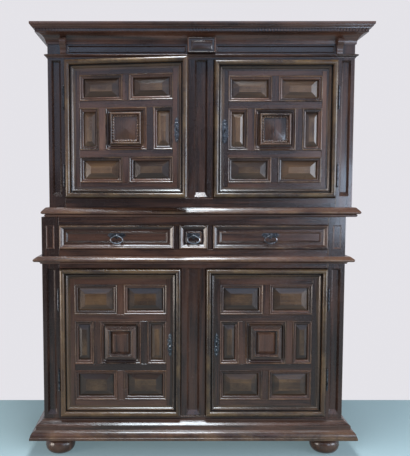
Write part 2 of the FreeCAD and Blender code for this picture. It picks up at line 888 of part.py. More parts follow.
lower_lock = lower_door_bottom + d.lock_lower_rise
lower_hinges = hinge_levels(lower_door_bottom, d.lower_door_height, d.lower_hinge_low, d.lower_hinge_high)
door_head = lower_door_top + d.door_gap
belt_bottom = drawer_bottom
lower_frame = [
    post(side, lower_half, lower_face, d.foot_height, lower_top,
         lower_door_bottom + d.recess_end, lower_door_top)
    for side in (-1, 1)
]
lower_sill = lower_door_bottom - d.door_gap
lower_frame += [
    between_posts(lower_face, d.foot_height, lower_sill - d.foot_height),
    between_posts(lower_face, door_head, belt_bottom - door_head),
    between_posts(lower_face, drawer_top, d.belt_rail),
    centre_post(lower_face, lower_sill, door_head, lower_lock),
]
lower_frame += [
    box(beside(side, d.small_drawer / 2, d.divider), lower_face, belt_bottom, d.divider,
        d.frame_thick, d.drawer_height)
    for side in (-1, 1)
]
node("lower_front_frame", LOWER, *lower_frame)
lower_middle = (lower_sill + door_head) / 2
side_rails = (
    (d.foot_height, lower_sill),
    (lower_middle - d.side_rail / 2, lower_middle + d.side_rail / 2),
    (door_head, belt_bottom),
    (drawer_top, lower_top),
)
node("lower_sides", LOWER, *framed_side(-1, lower_half, lower_face, d.foot_height, lower_top, side_rails),
     *framed_side(1, lower_half, lower_face, d.foot_height, lower_top, side_rails))
node("lower_back_boards", LOWER, *back_boards(lower_half, d.foot_height, lower_top, 5))
floor_z = lower_sill - d.board_thick
deck_z = waist_top - d.board_thick
lower_boards = [
    level_board(lower_half, lower_face, floor_z, d.board_thick),
    level_board(lower_half, lower_face, deck_z, d.board_thick),
    level_board(lower_half, lower_face, lower_top - d.board_thick, d.board_thick),
]
node("lower_boards", LOWER, *lower_boards)

runner_y = lower_face + d.frame_thick
runner_run = d.back_plane - d.back_thick - runner_y
runner_tall = drawer_bottom + d.drawer_gap - d.runner_clear - waist_top
shared_runner = d.runner_width * 2
divider_middle = (d.small_drawer + d.divider) / 2
runners = [
    box(beside(side, divider_middle - d.runner_width, shared_runner), runner_y, waist_top,
        shared_runner, runner_run, runner_tall)
    for side in (-1, 1)
]
runners += [
    box(beside(side, post_inner - d.runner_width, d.runner_width), runner_y, waist_top,
        d.runner_width, runner_run, runner_tall)
    for side in (-1, 1)
]
guide_wide = d.divider - d.drawer_gap
guides = [
    box(beside(side, d.small_drawer / 2 + d.drawer_gap / 2, guide_wide), runner_y,
        waist_top + runner_tall, guide_wide, runner_run, d.drawer_side / 2)
    for side in (-1, 1)
]
guides += [
    box(beside(side, post_inner, lower_half - d.side_thick - post_inner), runner_y, waist_top,
        lower_half - d.side_thick - post_inner, runner_run, runner_tall + d.drawer_side / 2)
    for side in (-1, 1)
]
node("drawer_runners", LOWER, *runners, *guides)

node("waist_moulding", LOWER, *case_moulding(
    nosing(d.waist_overhang, d.waist_height, d.waist_nose, d.waist_lip),
    lower_half, lower_face, waist_bottom, d.waist_overhang, d.waist_height))
node("plinth", LOWER, *case_moulding(plinth_profile(), lower_half, lower_face, d.foot_height,
                              d.plinth_overhang, d.plinth_height))
foot_x = lower_half - d.foot_inset
node("front_feet", LOWER, *[bun_foot(foot_x * side, lower_face + d.foot_neck) for side in (-1, 1)])
node("rear_feet", LOWER, *[
    box(beside(side, lower_half - d.rear_foot, d.rear_foot), d.back_plane - d.rear_foot, 0,
        d.rear_foot, d.rear_foot, d.foot_height)
    for side in (-1, 1)
])
node("lower_shelf", LOWER, *shelf(lower_half, d.lower_shelf_height))
node("lower_hinge_posts", LOWER,
     *[hinge_half(side, lower_face, z, False) for side in (-1, 1) for z in lower_hinges],
     *[hinge_pin(side, lower_face, z) for side in (-1, 1) for z in lower_hinges])

# Upper body

upper_lock = upper_door_bottom + d.lock_upper_rise
upper_hinges = hinge_levels(upper_door_bottom, d.upper_door_height, d.upper_hinge_low, d.upper_hinge_high)
case_top = upper_top - d.board_thick
upper_sill = upper_door_bottom - d.door_gap
upper_head = upper_door_top + d.door_gap
upper_frame = [
    post(side, upper_half, upper_face, lower_top, case_top,
         upper_door_bottom + d.recess_end, upper_door_top)
    for side in (-1, 1)
]
top_rail = between_posts(upper_face, upper_head, case_top - upper_head)
frieze_start = d.tablet_half + d.frieze_margin
frieze_end = corbel_place - d.corbel_width / 2 - d.frieze_margin
frieze_run = frieze_end - frieze_start
frieze_tools = [
    recess(beside(side, frieze_start, frieze_run), upper_face, necking_top + d.frieze_margin, frieze_run,
           d.frieze_height - d.frieze_margin * 2, d.frieze_sink, d.frieze_sink, d.frieze_sink)
    for side in (-1, 1)
]
upper_frame += [
    between_posts(upper_face, lower_top, upper_sill - lower_top),
    cut(top_rail, *frieze_tools),
    centre_post(upper_face, upper_sill, upper_head, upper_lock),
]
node("upper_front_frame", UPPER, *upper_frame)
upper_middle = (upper_sill + upper_head) / 2
side_rails = (
    (lower_top, upper_sill),
    (upper_middle - d.side_rail / 2, upper_middle + d.side_rail / 2),
    (upper_head, case_top),
)
node("upper_sides", UPPER, *framed_side(-1, upper_half, upper_face, lower_top, case_top, side_rails),
     *framed_side(1, upper_half, upper_face, lower_top, case_top, side_rails))
node("upper_back_boards", UPPER, *back_boards(upper_half, lower_top, case_top, 5))
node("upper_boards", UPPER,
     level_board(upper_half, upper_face, upper_sill - d.board_thick, d.board_thick),
     box(-upper_half, upper_face, case_top, (upper_half * 2), d.upper_depth, d.board_thick))
node("upper_shelf", UPPER, *shelf(upper_half, d.upper_shelf_height))
node("base_moulding", UPPER, *case_moulding(
    nosing(d.base_overhang, d.base_height, d.base_nose, d.base_lip),
    upper_half, upper_face, lower_top, d.base_overhang, d.base_height))
node("necking_moulding", UPPER, *case_moulding(
    nosing(d.necking_overhang, d.necking_height, d.necking_nose, d.necking_lip),
    upper_half, upper_face, necking_bottom, d.necking_overhang, d.necking_height))


def corbel(side):
    """Return a small bracket of the frieze that leans out towards its top."""
    sketch = outline((
        (0, 0), (d.corbel_foot, 0), (d.corbel_proud, d.corbel_height), (0, d.corbel_height),
    ))
    right = beside(side, corbel_place - d.corbel_width / 2, d.corbel_width) + d.corbel_width
    return extrusion(tilted(sketch, right, upper_face, necking_top, facing(FRONT, UP)), d.corbel_width)


tablet_front = upper_face - d.tablet_proud
field_half = d.tablet_half - d.tablet_margin
tablet = fuse(
    box(-d.tablet_half, tablet_front, necking_top, d.tablet_half * 2, d.tablet_proud, d.tablet_height),
    frustum(-field_half, necking_top + d.tablet_rise, field_half * 2,
            d.tablet_height - d.tablet_rise * 2, tablet_front, tablet_front - d.tablet_field,
            d.tablet_field, d.tablet_field))
ornaments = (tablet, corbel(-1), corbel(1))
node("frieze_ornaments", UPPER, *ornaments)
front_cornice, *side_cornices = case_moulding(
    cornice_profile(), upper_half, upper_face, frieze_top, d.cornice_overhang, d.cornice_height)
node("cornice", UPPER, cut(front_cornice, *ornaments), *side_cornices)
node("upper_hinge_posts", UPPER,
     *[hinge_half(side, upper_face, z, False) for side in (-1, 1) for z in upper_hinges],
     *[hinge_pin(side, upper_face, z) for side in (-1, 1) for z in upper_hinges])

# Doors and drawers

for side, name in ((-1, "left"), (1, "right")):
    upper_door = door(
        f"upper_{name}_door", UPPER, side, upper_face, upper_door_bottom, d.upper_door_height,
        d.upper_end_rail, d.upper_end_share, d.lock_upper_rise,
        d.broad_plate if side > 0 else d.narrow_plate, upper_hinges)
    if side < 0:
        for piece in upper_door:
            swing(piece, side, upper_face)
    door(f"lower_{name}_door", LOWER, side, lower_face, lower_door_bottom, d.lower_door_height,
         d.lower_end_rail, d.lower_end_share, d.lock_lower_rise, d.narrow_plate, lower_hinges)

wide_drawer = post_inner - divider_outer
drawer("left_drawer", -post_inner, wide_drawer, d.wide_grip)
drawer("centre_drawer", -d.small_drawer / 2, d.small_drawer, d.small_grip)
drawer("right_drawer", divider_outer, wide_drawer, d.wide_grip)

doc.recompute()
broken = [item.Label for item in doc.Objects if {"Invalid", "Error"} & set(item.State)]
broken += [item.Label for item in NODES if item.Shape.isNull() or not item.Shape.isValid()]
if broken:
    raise RuntimeError(f"not built: {broken}")
os.makedirs("parts", exist_ok=True)
for item in NODES:
    item.Shape.exportStep(f"parts/{item.Label}.step")
print(len(NODES), "sub-parts", sum(len(item.Shape.Solids) for item in NODES), "solids")
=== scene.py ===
"""Dress the two-part cabinet: eased joinery, mouldings, carved panels, iron fittings, room and light."""

import json
import logging
import math
import random
from collections.abc import Iterable, Sequence
from dataclasses import dataclass, field
from enum import Enum
from typing import Any

import bmesh
import bpy
from mathutils import Matrix, Vector, geometry


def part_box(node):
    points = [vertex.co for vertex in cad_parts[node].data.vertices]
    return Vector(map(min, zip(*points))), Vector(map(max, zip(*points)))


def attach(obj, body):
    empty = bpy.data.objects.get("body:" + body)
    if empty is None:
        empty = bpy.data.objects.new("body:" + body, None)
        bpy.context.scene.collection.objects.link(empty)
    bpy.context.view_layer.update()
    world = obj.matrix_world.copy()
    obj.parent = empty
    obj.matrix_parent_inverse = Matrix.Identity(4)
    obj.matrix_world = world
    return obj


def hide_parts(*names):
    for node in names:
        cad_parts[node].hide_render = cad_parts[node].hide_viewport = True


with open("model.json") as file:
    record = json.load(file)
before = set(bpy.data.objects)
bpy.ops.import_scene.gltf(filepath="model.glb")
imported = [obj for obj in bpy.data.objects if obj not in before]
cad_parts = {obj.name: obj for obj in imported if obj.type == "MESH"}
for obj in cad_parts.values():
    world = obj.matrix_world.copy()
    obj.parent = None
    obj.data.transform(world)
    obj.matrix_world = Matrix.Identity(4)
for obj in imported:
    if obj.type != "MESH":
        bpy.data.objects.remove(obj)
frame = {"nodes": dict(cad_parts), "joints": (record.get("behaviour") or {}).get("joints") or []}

log = logging.getLogger("cabinet")

MM = 0.001
# Depth at which a hollow gets its full painted shade
HOLLOW = 5 * MM
# Steps in a metre, within which corners of a CAD mesh are joined
WELD = 2e5
Profile = list[tuple[float, float]]
Colour = tuple[float, float, float]
Place = tuple[float, float, float]
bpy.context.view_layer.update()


class Slot(Enum):
    """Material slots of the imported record."""

    WALNUT = "walnut"
    PANEL = "walnut_panel"
    INNER = "inner_wood"
    IRON = "iron"


class RowShape(Enum):
    """Small shapes that stand in rows."""

    NAIL = "nail"
    DENTIL = "dentil"
    LOBE = "lobe"


class Axis(Enum):
    """Directions that the grain of a piece may follow."""

    ACROSS = Vector((1, 0, 0))
    DEEP = Vector((0, 1, 0))
    UPRIGHT = Vector((0, 0, 1))


# Shader nodes


class NodeTree:
    """Adds nodes to a tree and joins them."""

    def __init__(self, tree: bpy.types.NodeTree) -> None:
        """Keep the tree that the nodes go into."""
        self.tree = tree

    def add(self, kind: str, inputs: dict[Any, Any] | None = None, **settings: Any) -> bpy.types.Node:
        """Add one node.

        Args:
            kind: The node's type name.
            inputs: Values, or sockets to link, by input name or number.
            **settings: Properties of the node.

        Returns:
            The new node.
        """
        node = self.tree.nodes.new(kind)
        for key, value in settings.items():
            setattr(node, key, value)
        for key, value in (inputs or {}).items():
            if isinstance(value, bpy.types.NodeSocket):
                self.tree.links.new(value, node.inputs[key])
            else:
                node.inputs[key].default_value = value
        return node

    def math(self, operation: str, *values: Any) -> bpy.types.NodeSocket:
        """Add a Math node and return its value."""
        node = self.add("ShaderNodeMath", dict(enumerate(values)), operation=operation)
        return node.outputs[0]

    def ramp(self, value: bpy.types.NodeSocket, low: float, high: float) -> bpy.types.NodeSocket:
        """Return value carried from low..high to 0..1 with soft ends."""
        node = self.add("ShaderNodeMapRange", {0: value, 1: low, 2: high}, interpolation_type="SMOOTHSTEP")
        return node.outputs[0]

    def mix(self, factor: Any, first: Any, second: Any, blend: str = "MIX") -> bpy.types.NodeSocket:
        """Add a colour mix and return its result."""
        node = self.add("ShaderNodeMix", {0: factor, 6: first, 7: second}, data_type="RGBA", blend_type=blend)
        return node.outputs[2]

    def noise(
        self, vector: Any, stretch: Sequence[float], detail: float, twist: float = 0.0
    ) -> bpy.types.NodeSocket:
        """Add stretched noise.

        Args:
            vector: Where the noise is read.
            stretch: Features per metre along each axis.
            detail: How many finer layers it has.
            twist: How much its features are bent.

        Returns:
            The noise, 0 to 1.
        """
        place = self.add("ShaderNodeVectorMath", {0: vector, 1: stretch}, operation="MULTIPLY").outputs[0]
        inputs = {"Vector": place, "Scale": 1.0, "Detail": detail, "Distortion": twist}
        return self.add("ShaderNodeTexNoise", inputs).outputs["Fac"]

    def ray(self, *kinds: str) -> bpy.types.NodeSocket:
        """Tell kinds of rays apart.

        Args:
            *kinds: The kinds to look for, such as Camera.

        Returns:
            1 for rays of those kinds, and 0 for all others.
        """
        path = self.add("ShaderNodeLightPath").outputs
        found = path[f"Is {kinds[0]} Ray"]
        for kind in kinds[1:]:
            found = self.math("MAXIMUM", found, path[f"Is {kind} Ray"])
        return found

    def attribute(self, name: str) -> bpy.types.Node:
        """Read a surface mark of the piece."""
        return self.add("ShaderNodeAttribute", attribute_name=name)

    def group(self, tree: bpy.types.NodeTree, inputs: dict[str, Any]) -> bpy.types.Node:
        """Place a node group."""
        return self.add("ShaderNodeGroup", inputs, node_tree=tree)

    def join(self, node: bpy.types.Node, sockets: dict[str, bpy.types.NodeSocket]) -> None:
        """Link sockets to the named inputs of a node."""
        for label, socket in sockets.items():
            self.tree.links.new(socket, node.inputs[label])


def new_group(
    name: str, inputs: dict[str, str], outputs: dict[str, str]
) -> tuple[NodeTree, bpy.types.Node, bpy.types.Node]:
    """Start a shader node group.

    Args:
        name: The group's name.
        inputs: Socket type of each input.
        outputs: Socket type of each output.

    Returns:
        The tree's builder, its input node and its output node.
    """
    tree = bpy.data.node_groups.new(name, "ShaderNodeTree")
    for in_out, sockets in (("INPUT", inputs), ("OUTPUT", outputs)):
        for label, kind in sockets.items():
            tree.interface.new_socket(label, in_out=in_out, socket_type=kind)
    nodes = NodeTree(tree)
    return nodes, nodes.add("NodeGroupInput"), nodes.add("NodeGroupOutput")


class Effects:
    """Shader groups that several finishes share."""

    def __init__(self) -> None:
        """Build each group once."""
        self.grain = self._grain()
        self.wear = self._wear_and_hollow_shade()
        self.dust = self._dust()

    @staticmethod
    def _grain() -> bpy.types.NodeTree:
        """Return the figure of walnut: broad bands, streaks and open pores along the board."""
        colours = dict.fromkeys(("Dark", "Mid", "Light"), "NodeSocketColor")
        nodes, given, result = new_group(
            "walnut_grain",
            {"Board": "NodeSocketVector", **colours, "Tone": "NodeSocketFloat"},
            {"Colour": "NodeSocketColor", "Height": "NodeSocketFloat", "Pores": "NodeSocketFloat"},
        )
        board = given.outputs["Board"]
        bands = nodes.noise(board, (1.8, 24, 24), 4, 0.8)
        streaks = nodes.noise(board, (6, 210, 210), 3)
        clouds = nodes.noise(board, (3.5, 6, 6), 2)
        pores = nodes.ramp(nodes.noise(board, (70, 1300, 1300), 1), 0.56, 0.72)
        figure = nodes.math("MULTIPLY", bands, 0.45)
        for layer, share in ((streaks, 0.25), (clouds, 0.3), (given.outputs["Tone"], 0.16)):
            figure = nodes.math("MULTIPLY_ADD", layer, share, figure)
        body = nodes.mix(nodes.ramp(figure, 0.42, 0.6), given.outputs["Dark"], given.outputs["Mid"])
        body = nodes.mix(nodes.ramp(figure, 0.58, 0.78), body, given.outputs["Light"])
        body = nodes.mix(nodes.math("MULTIPLY", pores, 0.5), body, given.outputs["Dark"])
        height = nodes.math("MULTIPLY_ADD", pores, -0.6, streaks)
        nodes.join(result, {"Colour": body, "Height": height, "Pores": pores})
        return nodes.tree

    @staticmethod
    def _wear_and_hollow_shade() -> bpy.types.NodeTree:
        """Return masks of rubbed edges and of painted shade in the hollows, broken up by patches."""
        # This group also puts out Hollow, a mask of painted shade.
        nodes, given, result = new_group(
            "edge_wear",
            {"Position": "NodeSocketVector", "Edge": "NodeSocketFloat", "Amount": "NodeSocketFloat"},
            {"Mask": "NodeSocketFloat", "Hollow": "NodeSocketFloat"},
        )
        patches = nodes.noise(given.outputs["Position"], (9, 9, 9), 4)
        nicks = nodes.noise(given.outputs["Position"], (70, 70, 70), 2)
        spread = nodes.math("MULTIPLY_ADD", nicks, 0.35, patches)
        mask = nodes.math("MULTIPLY", nodes.ramp(spread, 0.5, 0.95), given.outputs["Edge"])
        mask = nodes.math("MULTIPLY", mask, given.outputs["Amount"])
        # Painted shade: negative marks darken hollows, grooves, panel bevels and brackets.
        sunk = nodes.math("MULTIPLY", given.outputs["Edge"], -1.0)
        hollow = nodes.math("MULTIPLY", sunk, nodes.ramp(patches, 0.1, 0.45))
        nodes.join(result, {"Mask": mask, "Hollow": nodes.math("MAXIMUM", hollow, 0.0)})
        return nodes.tree

    @staticmethod
    def _dust() -> bpy.types.NodeTree:
        """Return a mask of dust on faces that look up."""
        nodes, given, result = new_group(
            "settled_dust",
            {"Position": "NodeSocketVector", "Normal": "NodeSocketVector", "Amount": "NodeSocketFloat"},
            {"Mask": "NodeSocketFloat"},
        )
        up = nodes.add("ShaderNodeSeparateXYZ", {0: given.outputs["Normal"]}).outputs[2]
        patches = nodes.noise(given.outputs["Position"], (5, 5, 5), 3)
        mask = nodes.math("MULTIPLY", nodes.ramp(up, 0.75, 1.0), nodes.ramp(patches, 0.1, 0.9))
        nodes.join(result, {"Mask": nodes.math("MULTIPLY", mask, given.outputs["Amount"])})
        return nodes.tree


EFFECTS = Effects()


def rgba(colour: Colour) -> tuple[float, float, float, float]:
    """Return a colour with full alpha."""
    return (*colour, 1.0)


def new_material(name: str) -> tuple[bpy.types.Material, NodeTree, bpy.types.Node]:
    """Start a material.

    Args:
        name: The material's name.

    Returns:
        The material, its tree's builder and its Principled shader.
    """
    material = bpy.data.materials.new(name)
    material.use_nodes = True
    shader = material.node_tree.nodes["Principled BSDF"]
    return material, NodeTree(material.node_tree), shader


@dataclass(frozen=True, kw_only=True)
class Finish:
    """What all finishes share.

    Attributes:
        name: The material's name.
        slot: The record's material slot.
        dark, mid: Colours of the surface.
        worn: Colour where an edge is rubbed.
        roughness: Base roughness.
        wear: How much edges are rubbed.
    """

    name: str
    slot: Slot
    dark: Colour
    mid: Colour
    worn: Colour
    roughness: float
    wear: float

    def build(self) -> bpy.types.Material:
        """Return the material, made once."""
        if self.name not in bpy.data.materials:
            _, nodes, shader = new_material(self.name)
            self._paint(nodes, shader, nodes.add("ShaderNodeTexCoord").outputs["Object"])
        return bpy.data.materials[self.name]

    def _paint(self, nodes: NodeTree, shader: bpy.types.Node, position: bpy.types.NodeSocket) -> None:
        """Colour the surface; each kind of finish does so in its own way."""
        raise NotImplementedError

    def _rub(self, nodes: NodeTree, position: bpy.types.NodeSocket) -> bpy.types.Node:
        """Place the group that shows where edges are rubbed and where hollows get painted shade."""
        edge = nodes.attribute("wear").outputs["Fac"]
        return nodes.group(EFFECTS.wear, {"Position": position, "Edge": edge, "Amount": self.wear})


@dataclass(frozen=True, kw_only=True)
class WoodFinish(Finish):
    """A wood with its grain and polish.

    Attributes:
        light: Palest colour of the grain.
        coat: Weight of the wax.
        dust: How much dust lies on top.
    """

    light: Colour
    coat: float
    dust: float

    SMEARS = 0.16
    COAT_ROUGHNESS = 0.1
    SPECULAR = 0.35
    PORE_DEPTH = 0.4 * MM

    def _paint(self, nodes: NodeTree, shader: bpy.types.Node, position: bpy.types.NodeSocket) -> None:
        """Colour the surface with grain, rubbed edges, painted shade in the hollows and dust.

        Args:
            nodes: The material's builder.
            shader: Its Principled shader.
            position: Place on the piece.
        """
        normal = nodes.add("ShaderNodeNewGeometry").outputs["Normal"]
        figure = {
            "Board": nodes.attribute("board").outputs["Vector"],
            "Dark": rgba(self.dark),
            "Mid": rgba(self.mid),
            "Light": rgba(self.light),
            "Tone": nodes.attribute("tone").outputs["Fac"],
        }
        grain = nodes.group(EFFECTS.grain, figure).outputs
        wear = self._rub(nodes, position).outputs
        settled = {"Position": position, "Normal": normal, "Amount": self.dust}
        dust = nodes.group(EFFECTS.dust, settled).outputs["Mask"]
        colour = grain["Colour"]
        # The second tint is near-black painted shade laid into the hollows.
        for mask, tint in ((wear["Mask"], self.worn), (wear["Hollow"], HOLLOW_SHADE), (dust, DUST)):
            colour = nodes.mix(mask, colour, rgba(tint))
        smears = nodes.noise(position, (7, 7, 11), 3)
        rough: Any = self.roughness - self.SMEARS / 2
        dulled = ((smears, self.SMEARS), (grain["Pores"], 0.14), (wear["Hollow"], 0.3), (dust, 0.4))
        for mask, amount in dulled:
            rough = nodes.math("MULTIPLY_ADD", mask, amount, rough)
        relief = {"Height": grain["Height"], "Strength": 0.35, "Distance": self.PORE_DEPTH}
        bump = nodes.add("ShaderNodeBump", relief).outputs[0]
        nodes.join(shader, {"Base Color": colour, "Roughness": rough, "Normal": bump})
        shader.inputs["Coat Weight"].default_value = self.coat
        shader.inputs["Coat Roughness"].default_value = self.COAT_ROUGHNESS
        shader.inputs["Specular IOR Level"].default_value = self.SPECULAR


@dataclass(frozen=True, kw_only=True)
class IronFinish(Finish):
    """Forged iron with dark scale, rubbed on the edges."""

    METALLIC = 0.85
    PIT_DEPTH = 0.3 * MM

    def _paint(self, nodes: NodeTree, shader: bpy.types.Node, position: bpy.types.NodeSocket) -> None:
        """Colour the surface with scale, pits and bare edges.

        Args:
            nodes: The material's builder.
            shader: Its Principled shader.
            position: Place on the piece.
        """
        scale = nodes.noise(position, (130, 130, 130), 4)
        pits = nodes.noise(position, (620, 620, 620), 2)
        rubbed = self._rub(nodes, position).outputs["Mask"]
        colour = nodes.mix(nodes.ramp(scale, 0.35, 0.7), rgba(self.dark), rgba(self.mid))
        colour = nodes.mix(rubbed, colour, rgba(self.worn))
        rough = nodes.math("MULTIPLY_ADD", scale, 0.25, self.roughness - 0.12)
        rough = nodes.math("MULTIPLY_ADD", rubbed, -0.12, rough)
        height = nodes.math("MULTIPLY_ADD", pits, 0.6, scale)
        relief = {"Height": height, "Strength": 0.5, "Distance": self.PIT_DEPTH}
        bump = nodes.add("ShaderNodeBump", relief).outputs[0]
        nodes.join(shader, {"Base Color": colour, "Roughness": rough, "Normal": bump})
        shader.inputs["Metallic"].default_value = self.METALLIC


DUST: Colour = (0.2, 0.18, 0.16)
# Near-black painted shade for hollows, grooves, panel bevels and brackets
HOLLOW_SHADE: Colour = (0.004, 0.003, 0.0025)
WAXED_WALNUT = WoodFinish(
    name="waxed_walnut", slot=Slot.WALNUT, roughness=0.26, coat=0.25, wear=0.45, dust=0.2,
    dark=(0.017, 0.0075, 0.005), mid=(0.058, 0.025, 0.015), light=(0.12, 0.056, 0.031),
    worn=(0.2, 0.11, 0.05),
)
WALNUT_FIELD = WoodFinish(
    name="walnut_field", slot=Slot.PANEL, roughness=0.26, coat=0.25, wear=0.45, dust=0.2,
    dark=(0.024, 0.011, 0.0055), mid=(0.072, 0.035, 0.015), light=(0.14, 0.076, 0.03),
    worn=(0.22, 0.13, 0.06),
)
RUBBED_WALNUT = WoodFinish(
    name="rubbed_walnut", slot=Slot.WALNUT, roughness=0.26, coat=0.25, wear=0.4, dust=0.1,
    dark=(0.02, 0.0095, 0.005), mid=(0.06, 0.03, 0.013), light=(0.12, 0.07, 0.028),
    worn=(0.2, 0.12, 0.045),
)
BARE_BOARDS = WoodFinish(
    name="bare_boards", slot=Slot.INNER, roughness=0.7, coat=0.0, wear=0.4, dust=0.3,
    dark=(0.07, 0.042, 0.024), mid=(0.15, 0.1, 0.06), light=(0.24, 0.17, 0.1),
    worn=(0.28, 0.2, 0.13),
)
WROUGHT_IRON = IronFinish(
    name="wrought_iron", slot=Slot.IRON, roughness=0.3, wear=1.0,
    dark=(0.016, 0.016, 0.018), mid=(0.085, 0.085, 0.093), worn=(0.62, 0.62, 0.64),
)


# Meshes


@dataclass(frozen=True)
class Solid:
    """One closed solid of a CAD node.

    Attributes:
        points: Its corners.
        faces: Its triangles, as numbers of corners.
    """

    points: list[Vector]
    faces: list[tuple[int, ...]]

    @property
    def low(self) -> Vector:
        """Lowest corner of its box."""
        return Vector(min(p[i] for p in self.points) for i in range(3))

    @property
    def high(self) -> Vector:
        """Highest corner of its box."""
        return Vector(max(p[i] for p in self.points) for i in range(3))


def solids_of(node: str, turn: Matrix | None = None) -> list[Solid]:
    """Split a CAD node into its solids.

    The triangles come one solid after another, so a solid is whole once each edge has met its opposite.

    Args:
        node: The node's name.
        turn: Turns the solids back to a plain place before they are measured.

    Returns:
        The solids, with their corners joined.
    """
    mesh = frame["nodes"][node].data
    solids: list[Solid] = []
    numbers: dict[tuple[int, ...], int] = {}
    points: list[Vector] = []
    faces: list[tuple[int, ...]] = []
    unmet: set[tuple[int, int]] = set()
    for polygon in mesh.polygons:
        corners = []
        for index in polygon.vertices:
            place = mesh.vertices[index].co
            key = tuple(round(c * WELD) for c in place)
            if key not in numbers:
                numbers[key] = len(points)
                points.append(turn @ place if turn else place.copy())
            corners.append(numbers[key])
        if len(set(corners)) < 3:
            continue
        faces.append(tuple(corners))
        for pair in zip(corners, corners[1:] + corners[:1]):
            if pair[::-1] in unmet:
                unmet.remove(pair[::-1])
            else:
                unmet.add(pair)
        if not unmet:
            solids.append(Solid(points, faces))
            numbers, points, faces = {}, [], []
    return solids


def arc(
    centre: tuple[float, float], radii: tuple[float, float], start: float, end: float, steps: int = 8
) -> Profile:
    """Return points of an arc of an ellipse.

    Args:
        centre: Its centre.
        radii: Its two half axes.
        start: First angle in degrees.
        end: Last angle in degrees.
        steps: Number of chords.

    Returns:
        The points from first to last.
    """
    angles = [math.radians(start + (end - start) * i / steps) for i in range(steps + 1)]
    return [(centre[0] + radii[0] * math.cos(a), centre[1] + radii[1] * math.sin(a)) for a in angles]


def scaled(profile: Iterable[tuple[float, float]]) -> Profile:
    """Return a profile written in millimetres in metres."""
    return [(u * MM, v * MM) for u, v in profile]


